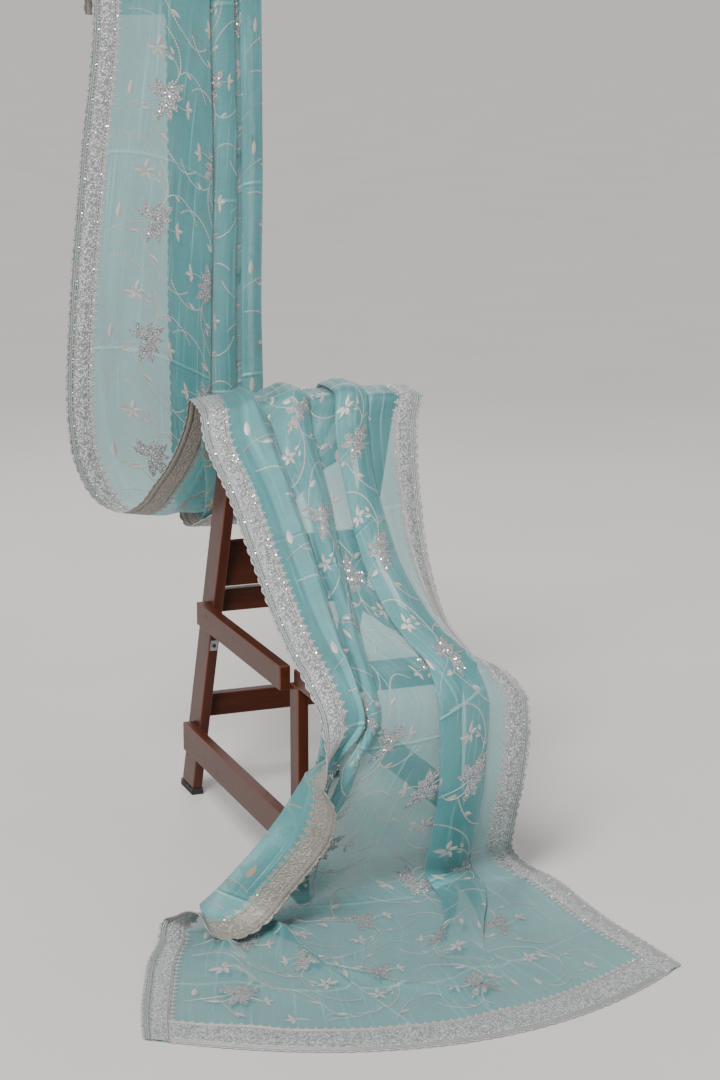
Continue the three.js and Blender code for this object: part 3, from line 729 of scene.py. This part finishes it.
# Each petal is a length and a width, which way it points, and how far from the middle it starts
big_petals = [
    (0.041, 0.017, 127, 0.003),
    (0.038, 0.016, 160, 0.003),
    (0.037, 0.016, 72, 0.003),
    (0.052, 0.019, 42, 0.003),
    (0.038, 0.016, 12, 0.003),
    (0.036, 0.016, -36, 0.003),
    (0.047, 0.018, -70, 0.003),
    (0.049, 0.018, -102, 0.003),
]
big_sequins = [(0, 0, 0.0028)]
for length, width, turn, start in big_petals:
    for number, run in enumerate(np.arange(0.008, length - 0.004, 0.0042)):
        aside = width * 0.16 * (1 if number % 2 else -1)
        angle = math.radians(turn)
        x = run * math.cos(angle) - aside * math.sin(angle)
        y = run * math.sin(angle) + aside * math.cos(angle)
        big_sequins.append((x, y, 0.0014))
small_petals = [
    (0.023, 0.011, 78, 0.002),
    (0.020, 0.010, 8, 0.002),
    (0.021, 0.010, -62, 0.002),
    (0.020, 0.010, -128, 0.002),
    (0.026, 0.011, 174, 0.002),
]
sprig_petals = [(0.020, 0.010, 80, 0), (0.018, 0.009, 15, 0), (0.020, 0.009, -70, 0)]
tooth_petals = [(0.011, 0.0055, 90, 0), (0.008, 0.0045, 150, 0), (0.008, 0.0045, 30, 0)]
fan_petals = [(0.0075, 0.003, 90, 0), (0.0065, 0.0028, 45, 0), (0.0065, 0.0028, 135, 0)]
seed_petals = [(0.010, 0.0042, 55, 0), (0.010, 0.0042, 125, 0)]
motif_table = [
    {"name": "big flower", "petals": big_petals, "steps": 7, "jag": 0.16},
    {"name": "big sequins", "petals": [], "sequins": big_sequins},
    {"name": "small flower", "petals": small_petals, "steps": 5},
    {"name": "leaf", "petals": [(0.031, 0.012, 0, 0)]},
    {"name": "sprig", "petals": sprig_petals, "steps": 5},
    {"name": "bead", "petals": [(0.0056, 0.0040, 0, -0.0028)], "steps": 3},
    {"name": "sequin", "petals": [], "sequins": [(0, 0, 0.0020)]},
    {"name": "tooth", "petals": tooth_petals, "steps": 4},
    {"name": "fan", "petals": fan_petals, "steps": 3},
    {"name": "seed", "petals": seed_petals, "steps": 4},
]
motifs = {row["name"]: motif(**row) for row in motif_table}


def new_tree(name, inputs):
    """A Geometry Nodes tree with named inputs and one output for what it makes."""
    tree = bpy.data.node_groups.new(name, "GeometryNodeTree")
    tree.interface.new_socket("Geometry", in_out="OUTPUT", socket_type="NodeSocketGeometry")
    for socket, kind in inputs.items():
        tree.interface.new_socket(socket, in_out="INPUT", socket_type="NodeSocket" + kind)
    start = tree.nodes.new("NodeGroupInput")
    end = tree.nodes.new("NodeGroupOutput")

    def add(kind, settings, sockets):
        node = tree.nodes.new(kind)
        for key, value in settings.items():
            setattr(node, key, value)
        for key, value in sockets.items():
            if isinstance(value, bpy.types.NodeSocket):
                tree.links.new(value, node.inputs[key])
            else:
                node.inputs[key].default_value = value
        return node

    return tree, start.outputs, end.inputs[0], add


def finish_tree(tree, add, end, geometry, paint):
    real = add("GeometryNodeRealizeInstances", {}, {"Geometry": geometry})
    painted = add("GeometryNodeSetMaterial", {}, {"Geometry": real.outputs[0], "Material": paint})
    tree.links.new(painted.outputs[0], end)


strewn_inputs = {"Geometry": "Geometry", "Motif": "Object", "Paint": "Material", "Size": "Float"}
strewn, given, end, add = new_tree("motifs at points", strewn_inputs)
turn = add("GeometryNodeInputNamedAttribute", {"data_type": "FLOAT"}, {"Name": "turn"})
size = add("GeometryNodeInputNamedAttribute", {"data_type": "FLOAT"}, {"Name": "size"})
upright = add("ShaderNodeCombineXYZ", {}, {"Z": turn.outputs[0]})
scaled = add("ShaderNodeMath", {"operation": "MULTIPLY"}, {0: size.outputs[0], 1: given["Size"]})
shape = add("GeometryNodeObjectInfo", {}, {"Object": given["Motif"]})
placed = add("GeometryNodeInstanceOnPoints", {}, {
    "Points": given["Geometry"], "Instance": shape.outputs["Geometry"],
    "Rotation": upright.outputs[0], "Scale": scaled.outputs[0],
})
finish_tree(strewn, add, end, placed.outputs[0], given["Paint"])

stitched_inputs = {"Geometry": "Geometry", "Motif": "Object", "Paint": "Material", "Pitch": "Float"}
stitched, given, end, add = new_tree("stitches along lines", stitched_inputs)
line = add("GeometryNodeMeshToCurve", {}, {"Mesh": given["Geometry"]})
spaced = {"Curve": line.outputs[0], "Length": given["Pitch"]}
dots = add("GeometryNodeCurveToPoints", {"mode": "LENGTH"}, spaced)
facing = add("FunctionNodeAlignRotationToVector", {"axis": "X"}, {"Vector": dots.outputs["Tangent"]})
shape = add("GeometryNodeObjectInfo", {}, {"Object": given["Motif"]})
placed = add("GeometryNodeInstanceOnPoints", {}, {
    "Points": dots.outputs["Points"], "Instance": shape.outputs["Geometry"],
    "Rotation": facing.outputs[0],
})
finish_tree(stitched, add, end, placed.outputs[0], given["Paint"])

corded_inputs = {"Geometry": "Geometry", "Paint": "Material", "Radius": "Float"}
corded, given, end, add = new_tree("cords along lines", corded_inputs)
line = add("GeometryNodeMeshToCurve", {}, {"Mesh": given["Geometry"]})
ring = add("GeometryNodeCurvePrimitiveCircle", {}, {"Resolution": 5, "Radius": given["Radius"]})
cord = add("GeometryNodeCurveToMesh", {}, {"Curve": line.outputs[0], "Profile Curve": ring.outputs[0]})
finish_tree(corded, add, end, cord.outputs[0], given["Paint"])


def grown(tree, mesh, inputs):
    """The plain mesh that a tree makes from these points or lines."""
    carrier = add_to_scene("carrier", mesh)
    modifier = carrier.modifiers.new("grow", "NODES")
    modifier.node_group = tree
    for item in tree.interface.items_tree:
        if item.name in inputs:
            modifier[item.identifier] = inputs[item.name]
    graph = bpy.context.evaluated_depsgraph_get()
    result = bpy.data.meshes.new_from_object(carrier.evaluated_get(graph))
    carrier.modifiers.remove(modifier)
    bpy.data.objects.remove(carrier)
    return result


def dots_mesh(rows):
    """Points from rows of u, v, turn in radians and size."""
    rows = np.array(rows, float).reshape(-1, 4)
    mesh = bpy.data.meshes.new("dots")
    mesh.from_pydata([(u, v, 0) for u, v in rows[:, :2]], [], [])
    for column, name in ((2, "turn"), (3, "size")):
        mesh.attributes.new(name, "FLOAT", "POINT").data.foreach_set("value", rows[:, column])
    return mesh


def lines_mesh(lines):
    """Lines from lists of (u, v) or (u, v, height) points."""
    places, edges = [], []
    for line in lines:
        first = len(places)
        places += [tuple(p) + (0,) * (3 - len(p)) for p in line]
        edges += [(first + i, first + i + 1) for i in range(len(line) - 1)]
    mesh = bpy.data.meshes.new("lines")
    mesh.from_pydata(places, edges, [])
    return mesh


def draped_piece(name, parts, paints):
    """Joins flat meshes into one piece and lays it on the draped cloth."""
    points, faces, indices, stitches = [], [], [], []
    for mesh in parts:
        first = sum(len(p) for p in points)
        flat = np.empty(len(mesh.vertices) * 3)
        mesh.vertices.foreach_get("co", flat)
        points.append(flat.reshape(-1, 3))
        worn = paints.index([paint for paint in mesh.materials if paint][0])
        for face in mesh.polygons:
            faces.append([v + first for v in face.vertices])
            indices.append(worn)
        uv = np.zeros(len(mesh.loops) * 2)
        if "stitch" in mesh.uv_layers:
            mesh.uv_layers["stitch"].data.foreach_get("uv", uv)
        stitches.append(uv)
    flat = np.concatenate(points)
    mesh = bpy.data.meshes.new(name)
    mesh.from_pydata(drape_points(flat).tolist(), [], faces)
    mesh.uv_layers.new(name="stitch").data.foreach_set("uv", np.concatenate(stitches))
    corner = np.array([v for face in faces for v in face])
    mesh.uv_layers.new(name="flat cloth").data.foreach_set("uv", flat[corner, :2].ravel())
    under = mesh.attributes.new("underside", "FLOAT", "POINT")
    under.data.foreach_set("value", (flat[:, 2] < 0).astype(float))
    mesh.polygons.foreach_set("material_index", indices)
    mesh.polygons.foreach_set("use_smooth", [True] * len(faces))
    for paint in paints:
        mesh.materials.append(paint)
    return add_to_scene(name, mesh)


thread_constants = {"Specular IOR Level": 0.6, "Sheen Weight": 0.3}
thread_paint, thread, thread_shader = material("silver thread", thread_constants)
stitch_place = thread.uv("stitch")
thread_place = thread.uv("flat cloth")
underside = thread.attribute("underside")
satin = thread.noise(stitch_place, 1, 2, (2600, 500, 1))
patch = thread.noise(thread_place, 35, 2)
half_lit = thread.make("ShaderNodeSeparateXYZ", {}, {"Vector": stitch_place}).between(-0.0006, 0.0006)
thread_tone = satin * 0.6 + patch * 0.3 + half_lit * 0.35 - 0.2
thread_silver = thread_tone.blend((0.25, 0.22, 0.20), (0.66, 0.63, 0.61))
thread_brown = satin.blend((0.22, 0.16, 0.11), (0.42, 0.31, 0.23))
wear(
    thread_shader,
    Base_Color=underside.blend(thread_silver, thread_brown),
    Metallic=0.25 - underside * 0.2,
    Roughness=0.32 + satin * 0.2,
    Normal=satin.bump(0.5, 0.0006),
)
beads_paint, beads, beads_shader = material("beadwork", {"Specular IOR Level": 0.6})
beads_place = beads.uv("flat cloth")
beads_under = beads.attribute("underside")
bead_cell = beads.make("ShaderNodeTexVoronoi", {}, {"Vector": beads_place, "Scale": 480})
bead_round = 1 - bead_cell.between(0.15, 0.6)
bead_patch = beads.noise(beads_place, 300, 1)
# Each bead is painted lighter in its middle and darker in the gaps between beads: a painted highlight and
# painted shade, on the silver side and the brown underside.
beads_silver = (bead_round * 0.8 + bead_patch * 0.7 - 0.3).blend((0.16, 0.17, 0.17), (0.84, 0.83, 0.83))
beads_brown = bead_round.blend((0.20, 0.15, 0.11), (0.38, 0.30, 0.23))
wear(
    beads_shader,
    Base_Color=beads_under.blend(beads_silver, beads_brown),
    Metallic=0.2 - beads_under * 0.15,
    Roughness=0.24 + bead_patch * 0.3,
    Normal=bead_round.bump(0.9, 0.0009),
)
sequin_paint, sequin, sequin_shader = material("silver sequins", {"Metallic": 0.9})
sequin_place = sequin.uv("flat cloth")
glint = sequin.noise(sequin_place, 400, 1)
wear(
    sequin_shader,
    Base_Color=glint.blend((0.72, 0.74, 0.76), (0.98, 0.97, 0.95)),
    Roughness=glint * 0.25 + 0.1,
)

# Where the columns of flowers stand on the cloth, how far up each starts, and which way it faces
repeat = 0.25
flower_columns = [
    {"u": 0.168, "start": 0.208, "face": 1, "rise": 1},
    {"u": 0.330, "start": 0.120, "face": -1, "rise": -1},
    {"u": 0.490, "start": 0.070, "face": 1, "rise": -1},
    {"u": 0.680, "start": 0.190, "face": -1, "rise": -1},
    {"u": 0.880, "start": 0.150, "face": 1, "rise": 1},
]
# One repeat of the pattern: what, how far aside and up from the big flower, its turn and size
repeat_table = [
    ("big flower", 0, 0, 0, 1),
    ("big sequins", 0, 0, 0, 1),
    ("small flower", -0.027, 0.095, 0, 1),
    ("leaf", -0.076, -0.006, 88, 1),
    ("leaf", -0.030, -0.026, 186, 0.8),
    ("leaf", 0.010, 0.078, 160, 0.6),
    ("leaf", 0.008, 0.088, 118, 0.55),
    ("leaf", 0.044, 0.060, -28, 0.55),
    ("leaf", -0.004, -0.074, -30, 0.8),
    ("sprig", 0.056, -0.010, 4, 1),
]
# The satin stems and chain-stitched vines of one repeat, as the four points that pull each curve
stem_table = [
    [(-0.008, -0.004), (-0.040, -0.022), (-0.066, -0.008), (-0.108, -0.046)],
    [(-0.006, -0.018), (-0.030, -0.042), (-0.058, -0.034), (-0.064, -0.014)],
    [(-0.022, 0.095), (-0.004, 0.094), (0.016, 0.080), (0.023, 0.052)],
    [(0.024, -0.008), (0.036, -0.014), (0.048, -0.012), (0.058, -0.010)],
]
vine_table = [
    [(0.015, 0.030), (0.050, 0.080), (-0.010, 0.176), (-0.088, 0.166)],
    [(0.023, 0.050), (0.046, 0.074), (0.086, 0.062), (0.110, 0.024)],
    [(-0.026, -0.034), (-0.006, -0.080), (0.044, -0.166), (0.096, -0.122)],
]
# The work keeps clear of the borders, of the end lace and of the cloth's far end
edge_margin = lace_width + 0.006
end_margin = 0.115
far_margin = 0.02
big_reach = 0.045
small_reach = 0.012
too_short = 6


def curve_points(pulls, count=24):
    a, b, c, d = (np.array(p) for p in pulls)
    t = (np.arange(count + 1) / count)[:, None]
    return a * (1 - t) ** 3 + 3 * b * t * (1 - t) ** 2 + 3 * c * t * t * (1 - t) + d * t ** 3


def stretch_at(u, v):
    """Which stretch this place on the flat cloth is in."""
    i = int(np.clip(u / table_step, 0, len(table_u) - 1))
    for number, stretch in enumerate(stretches):
        if v >= stretch["ends"][1][i]:
            return number
    return len(stretches) - 1


def turned_way(angle, face, rise):
    """The turn of a motif in a column that is a mirror image across or along the cloth."""
    if face < 0:
        angle = 180 - angle
    return math.radians(angle * rise)


def on_the_ground(line):
    """The part of a line that is clear of the borders."""
    clear = (line[:, 0] > edge_margin) & (line[:, 0] < cloth_width - edge_margin)
    return line[clear & (line[:, 1] > end_margin) & (line[:, 1] < cloth_length - far_margin)]


worked = [{"vines": [], "stems": [], **{name: [] for name in motifs}} for _ in stretches]
for column in flower_columns:
    face, rise = column["face"], column["rise"]
    for number in range(int(cloth_length / repeat) + 1):
        u0, v0 = column["u"], column["start"] + number * repeat
        owner = worked[stretch_at(u0, v0)]
        for what, aside, up, angle, size in repeat_table:
            u, v = u0 + aside * face, v0 + up * rise
            room = big_reach if what.startswith("big") else small_reach
            across_ok = edge_margin + room < u < cloth_width - edge_margin - room
            if across_ok and end_margin + room < v < cloth_length - far_margin - room:
                owner[what].append((u, v, turned_way(angle, face, rise), size))
        for kind, table in (("stems", stem_table), ("vines", vine_table)):
            for pulls in table:
                line = on_the_ground(curve_points(pulls) * (face, rise) + (u0, v0))
                if len(line) > too_short:
                    owner[kind].append(line)

bead_pitch = 0.0060
stem_radius = 0.0009
motif_paints = {"big flower": beads_paint, "big sequins": sequin_paint}
for stretch, work in zip(stretches, worked):
    parts = []
    for name in ("big flower", "big sequins", "small flower", "leaf", "sprig"):
        if work[name]:
            inputs = {"Motif": motifs[name], "Paint": motif_paints.get(name, thread_paint), "Size": 1.0}
            parts.append(grown(strewn, dots_mesh(work[name]), inputs))
    if work["vines"]:
        inputs = {"Motif": motifs["bead"], "Paint": thread_paint, "Pitch": bead_pitch}
        parts.append(grown(stitched, lines_mesh(work["vines"]), inputs))
    if work["stems"]:
        inputs = {"Paint": thread_paint, "Radius": stem_radius}
        parts.append(grown(corded, lines_mesh(work["stems"]), inputs))
    paints = [thread_paint, beads_paint, sequin_paint]
    piece = draped_piece("embroidery_" + stretch["name"], parts, paints)
    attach(piece, "root")
    stretch["on_it"] = [piece]

# The lace border: a dense silver band on both long edges and a wider one across the end, with
# a scalloped rim, five cords, a raised band of seed stitches and sequins, and a row of small
# three-leaved teeth along its inner side. Each strip is sewn over the edge of the organza.
scallop_pitch = 0.022
scallop_depth = 0.0055
end_lace_width = 0.100
band_start = 0.0185
band_margin = 0.0175
inner_line = 0.014
seed_pitch = 0.0125
spangle_pitch = 0.0058
tooth_pitch = 0.017
cord_step = 0.006
cord_radius = 0.0009
rim_height = 0.0006
rim_inset = 0.001
corner_reach = 0.03
rod_end_trim = 0.002
# Three strips side by side: how far in from the edge each line of points is, and its height
rim_lines = [(0, 0.0004), (0.003, 0.0007), (0.0065, 0.0006)]
net_lines = [(0.0065, 0.0005), (0.012, 0.0004), (0.0185, 0.0005)]
band_lines = [(0.0185, 0.0005), (0.020, 0.0014), (0.0445, 0.0014), (0.0465, 0.0007), (0.050, 0.0005)]
ground_under = -0.0004
steps_per_scallop = 6


def scallop(along):
    """How far the rim lies in from the outermost line."""
    t = np.mod(along / scallop_pitch, 1)
    return scallop_depth * (1 - np.sin(math.pi * t) ** 0.6)


def border_map(edge, along, inward):
    """Flat places for distances along and in from one edge of the cloth."""
    if edge == "left":
        return np.stack([inward, along], -1)
    if edge == "right":
        return np.stack([cloth_width - inward, along], -1)
    return np.stack([along, inward], -1)


def lace_ground(edge, start, stop, width, lines, paint):
    """One strip of the ground, a thin closed shell. The outermost follows the scallops."""
    count = max(2, int(round((stop - start) / scallop_pitch * steps_per_scallop)))
    along = np.linspace(start, stop, count + 1)
    stretch_in = (width - inner_line - band_start) / (band_lines[-1][0] - band_start)
    rows = []
    for d, h in lines:
        inward = np.full_like(along, d if d <= band_start else band_start + (d - band_start) * stretch_in)
        if d < scallop_depth:
            inward = np.maximum(inward, scallop(along))
        rows.append(np.concatenate([border_map(edge, along, inward), np.full((len(along), 1), h)], -1))
    for top in rows[::-1]:
        rows.append(np.concatenate([top[:, :2], np.full((len(along), 1), ground_under)], -1))
    grid = np.array(rows + rows[:1])
    if edge != "end" and start < 0.001:
        grid[:, :, 1] += scallop(grid[:, :, 0]) * np.clip(1 - grid[:, :, 1] / corner_reach, 0, 1)
    n, m = grid.shape[:2]
    at = np.arange(n * m).reshape(n, m)
    at[-1] = at[0]
    faces = np.stack([at[:-1, :-1], at[1:, :-1], at[1:, 1:], at[:-1, 1:]], -1).reshape(-1, 4)
    if edge != "left":
        faces = faces[:, ::-1]
    mesh = bpy.data.meshes.new("ground")
    mesh.from_pydata(grid[:-1].reshape(-1, 3).tolist(), [], faces.tolist())
    mesh.materials.append(paint)
    return mesh


def lace_paint(name, low, high, cells_per_metre):
    """Close silver stitching: rounded cells with a painted highlight on top and painted shade between,
    brownish on the wrong side.
    """
    paint, lace, shader = material(name, {"Specular IOR Level": 0.6, "Sheen Weight": 0.2})
    place = lace.uv("flat cloth")
    under = lace.attribute("underside")
    cells = lace.make("ShaderNodeTexVoronoi", {}, {"Vector": place, "Scale": cells_per_metre})
    lace_round = 1 - cells.between(0.1, 0.65)
    lace_patch = lace.noise(place, 90, 3)
    # The colour follows the cells' rounding: a painted highlight on their tops and painted shade between
    # them, on both sides.
    cell_highlight_and_shade = lace_round * 0.7 + lace_patch * 0.6 - 0.15
    brown = cell_highlight_and_shade.blend((0.17, 0.16, 0.14), (0.42, 0.36, 0.31))
    wear(
        shader,
        Base_Color=under.blend(cell_highlight_and_shade.blend(low, high), brown),
        Metallic=0.15 - under * 0.1,
        Roughness=0.42 - lace_round * 0.14,
        Normal=lace_round.bump(0.9, 0.0012),
    )
    return paint


# Between the cells each ground is painted darker, as painted shade; the net's dark end is also teal, where
# the organza shows through it.
band_paint = lace_paint("silver band", (0.14, 0.16, 0.16), (0.78, 0.77, 0.77), 240)
net_paint = lace_paint("lace net", (0.06, 0.17, 0.18), (0.46, 0.47, 0.46), 420)


def border_rows(edge, start, stop, spacing, inward, turned=0, size=1, offset=0.5, twist=0.0):
    """Points along a border for its motifs, with their turn from the cloth's edge."""
    along = start + (np.arange(int((stop - start) / spacing)) + offset) * spacing
    flat = border_map(edge, along, np.full_like(along, inward))
    outward = {"left": -90, "right": 90, "end": 0}[edge]
    angle = math.radians(turned + outward)
    return [(u, v, angle + twist * number, size) for number, (u, v) in enumerate(flat)]


def border_line(edge, start, stop, inward):
    """The line of one cord along a border."""
    along = np.arange(start, stop + 0.001, cord_step)
    along = np.append(along[:-1], stop)
    flat = border_map(edge, along, np.full_like(along, inward))
    return [(u, v, cord_radius) for u, v in flat]


def rim_line(edge, start, stop):
    """The line of the cord that follows the scallops."""
    count = max(2, int(round((stop - start) / scallop_pitch * steps_per_scallop)))
    along = np.linspace(start, stop, count + 1)
    flat = border_map(edge, along, scallop(along) + rim_inset)
    return [(u, v, rim_height) for u, v in flat]


def lace_strip(name, node, edge, start, stop, width):
    """One strip of the border, with all that is stitched to it, in place of this node or nodes."""
    run = (edge, start, stop)
    band_end = width - band_margin
    cord_places = (0.0085, 0.0125, 0.0175, band_end + 0.0005, band_end + 0.0045)
    cords = [border_line(*run, place) for place in cord_places] + [rim_line(*run)]
    seeds, spangles = [], []
    rows_in = max(2, round((band_end - band_start) / seed_pitch))
    for i in range(rows_in):
        inward = band_start + (i + 0.35) * (band_end - band_start) / rows_in
        odd = i % 2
        seeds += border_rows(*run, seed_pitch, inward, 180 * (1 - odd), 0.8, offset=0.5 * odd)
        shift_along = 0.25 + 0.5 * odd
        spangles += border_rows(*run, spangle_pitch, inward + 0.004, i * 70, 0.9, shift_along, 2.4)
    spangles += border_rows(*run, 0.0070, 0.0150, size=0.7, twist=1.9)
    spangles += border_rows(*run, 0.0075, band_end + 0.0025, size=0.75, twist=2.9)
    fans = border_rows(*run, scallop_pitch, scallop_depth + 0.0016, 180, 0.75)
    teeth = border_rows(*run, tooth_pitch, band_end + 0.0065)
    drops = border_rows(*run, tooth_pitch, band_end + 0.007, size=0.8, offset=0.0, twist=2.4)
    sewn_on = [
        ("fan", thread_paint, fans),
        ("seed", thread_paint, seeds),
        ("sequin", sequin_paint, spangles),
        ("tooth", thread_paint, teeth),
        ("sequin", sequin_paint, drops),
    ]
    grounds = [(rim_lines, band_paint), (net_lines, net_paint), (band_lines, band_paint)]
    parts = [lace_ground(*run, width, lines, paint) for lines, paint in grounds]
    parts.append(grown(corded, lines_mesh(cords), {"Paint": thread_paint, "Radius": cord_radius}))
    for what, paint, rows in sewn_on:
        inputs = {"Motif": motifs[what], "Paint": paint, "Size": 1.0}
        parts.append(grown(strewn, dots_mesh(rows), inputs))
    piece = draped_piece(name, parts, [band_paint, net_paint, thread_paint, sequin_paint])
    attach(piece, "root")
    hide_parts(*node)
    return piece


for stretch in stretches:
    for edge, i in (("left", 0), ("right", -1)):
        high, low = stretch["ends"][0][i], stretch["ends"][1][i]
        if stretch["name"] == "rod_end":
            high -= rod_end_trim
        nodes = [f"lace_{edge}_{stretch['name']}"]
        if stretch["name"] == "rise":
            nodes.append(f"lace_{edge}_loop")
        name = f"border_{edge}_{stretch['name']}"
        piece = lace_strip(name, nodes, edge, float(low), float(high), lace_width)
        stretch["on_it"].append(piece)
inner = lace_width - inner_line
end_piece = lace_strip("border_end", ["lace_end"], "end", inner, cloth_width - inner, end_lace_width)
stretches[-1]["on_it"].append(end_piece)

for stretch in stretches:
    length = float(spans[stretch["from"]:stretch["to"]].sum() * millimetre)

# The stand: sawn hardwood boards, planed, stained red-brown and varnished, screwed together at
# their ends. Each is a copy of its solid with its sharp edges rubbed round and a little paler.
edge_round = 0.0022
boards = [
    "leg_rear_left", "leg_rear_right", "leg_front_left", "leg_front_right",
    "rail_upper_left", "rail_upper_right", "rail_lower_left", "rail_lower_right",
    "rail_rear_low", "rail_rear_seat", "slat_back", "rail_top", "step_board",
]
wood_constants = {"Coat Weight": 0.1, "Coat Roughness": 0.2, "Specular IOR Level": 0.25}


def stained_wood(name, dark, light, roughness):
    """Varnished wood with its grain along each board, read from the board's own places."""
    paint, wood, shader = material(name, wood_constants)
    place = wood.attribute("board", output="Vector")
    bend = wood.noise(place, 3, 2, (0.5, 4, 4))
    rings = wood.noise(place, 1, 4, (5, 95, 60))
    pores = wood.noise(place, 1, 2, (40, 1100, 1100))
    stain = wood.noise(place, 6, 3)
    grain = rings * 0.7 + bend * 0.35 + pores * 0.18 + stain * 0.25 - 0.24
    scuffs = wood.noise(place, 55, 4, (0.4, 1, 1)).between(0.62, 0.8)
    wear(
        shader,
        Base_Color=grain.blend(dark, light),
        Roughness=roughness + pores * 0.12 + scuffs * 0.2,
        Normal=(pores * 0.5 + rings * 0.5 - scuffs * 0.3).bump(0.35, 0.0006),
    )
    return paint


wood_paint = stained_wood("stained hardwood", (0.018, 0.004, 0.002), (0.105, 0.025, 0.011), 0.32)
edge_paint = stained_wood("rubbed edges", (0.07, 0.019, 0.010), (0.19, 0.058, 0.028), 0.42)
for number, name in enumerate(boards):
    shape = bmesh.new()
    shape.from_mesh(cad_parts[name].data)
    bmesh.ops.remove_doubles(shape, verts=shape.verts, dist=0.00001)
    bmesh.ops.dissolve_limit(shape, angle_limit=math.radians(1), verts=shape.verts, edges=shape.edges)
    sharp = [e for e in shape.edges if e.calc_face_angle(0) > math.radians(20)]
    bmesh.ops.bevel(
        shape, geom=sharp, offset=edge_round, offset_type="OFFSET", segments=2, profile=0.6,
        affect="EDGES", material=1, clamp_overlap=True,
    )
    mesh = bpy.data.meshes.new("board_" + name)
    shape.to_mesh(mesh)
    shape.free()
    places = np.empty(len(mesh.vertices) * 3)
    mesh.vertices.foreach_get("co", places)
    places = places.reshape(-1, 3)
    centred = places - places.mean(0)
    spread_ways = np.linalg.eigh(centred.T @ centred)[1][:, ::-1]
    own = centred @ spread_ways + (0, 0.31 * number, 0.17 * number)
    mesh.attributes.new("board", "FLOAT_VECTOR", "POINT").data.foreach_set("vector", own.ravel())
    mesh.materials.append(wood_paint)
    mesh.materials.append(edge_paint)
    board = add_to_scene("board_" + name, mesh)
    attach(board, "root")
    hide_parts(name)

# The feet: black rubber caps under the four legs, scuffed where they have been dragged, with
# the pale worn spots of old dust and rubbed corners.
rubber_paint, rubber, rubber_shader = material("black rubber", {"Specular IOR Level": 0.35})
rubber_place = rubber.own_place()
rubber_grain = rubber.noise(rubber_place, 900, 2)
rubber_worn = rubber.noise(rubber_place, 70, 3).between(0.55, 0.7)
wear(
    rubber_shader,
    Base_Color=rubber_worn.blend((0.018, 0.016, 0.015), (0.20, 0.17, 0.15)),
    Roughness=0.7 + rubber_worn * 0.15,
    Normal=(rubber_grain * 0.5 + rubber_worn * 0.5).bump(0.5, 0.0005),
)

# The steel: a small angle plate with its screw under the upper rail, and the rod above with
# its two end caps. Rolled, brushed and lightly spotted with age.
steel_paint, steel, steel_shader = material("brushed steel", {"Metallic": 0.9})
steel_place = steel.own_place()
brushing = steel.noise(steel_place, 1, 3, (14, 1600, 1600))
spots = steel.noise(steel_place, 140, 3).between(0.58, 0.72)
wear(
    steel_shader,
    Base_Color=spots.blend((0.46, 0.47, 0.48), (0.25, 0.23, 0.21)),
    Roughness=0.3 + brushing * 0.2 + spots * 0.25,
    Normal=(brushing * 0.4 - spots * 0.4).bump(0.3, 0.0004),
)
screw_paint, screw, screw_shader = material("dark screw", {"Metallic": 0.7})
screw_place = screw.own_place()
rust = screw.noise(screw_place, 320, 3)
wear(
    screw_shader,
    Base_Color=rust.blend((0.03, 0.028, 0.027), (0.10, 0.065, 0.045)),
    Roughness=rust * 0.4 + 0.35,
)
finishes = {
    "foot_rear_left": rubber_paint, "foot_rear_right": rubber_paint,
    "foot_front_left": rubber_paint, "foot_front_right": rubber_paint,
    "bracket": steel_paint, "bracket_screw": screw_paint,
    "rod": steel_paint, "rod_cap_left": steel_paint, "rod_cap_right": steel_paint,
}
for name, paint in finishes.items():
    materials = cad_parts[name].data.materials
    materials.clear()
    materials.append(paint)
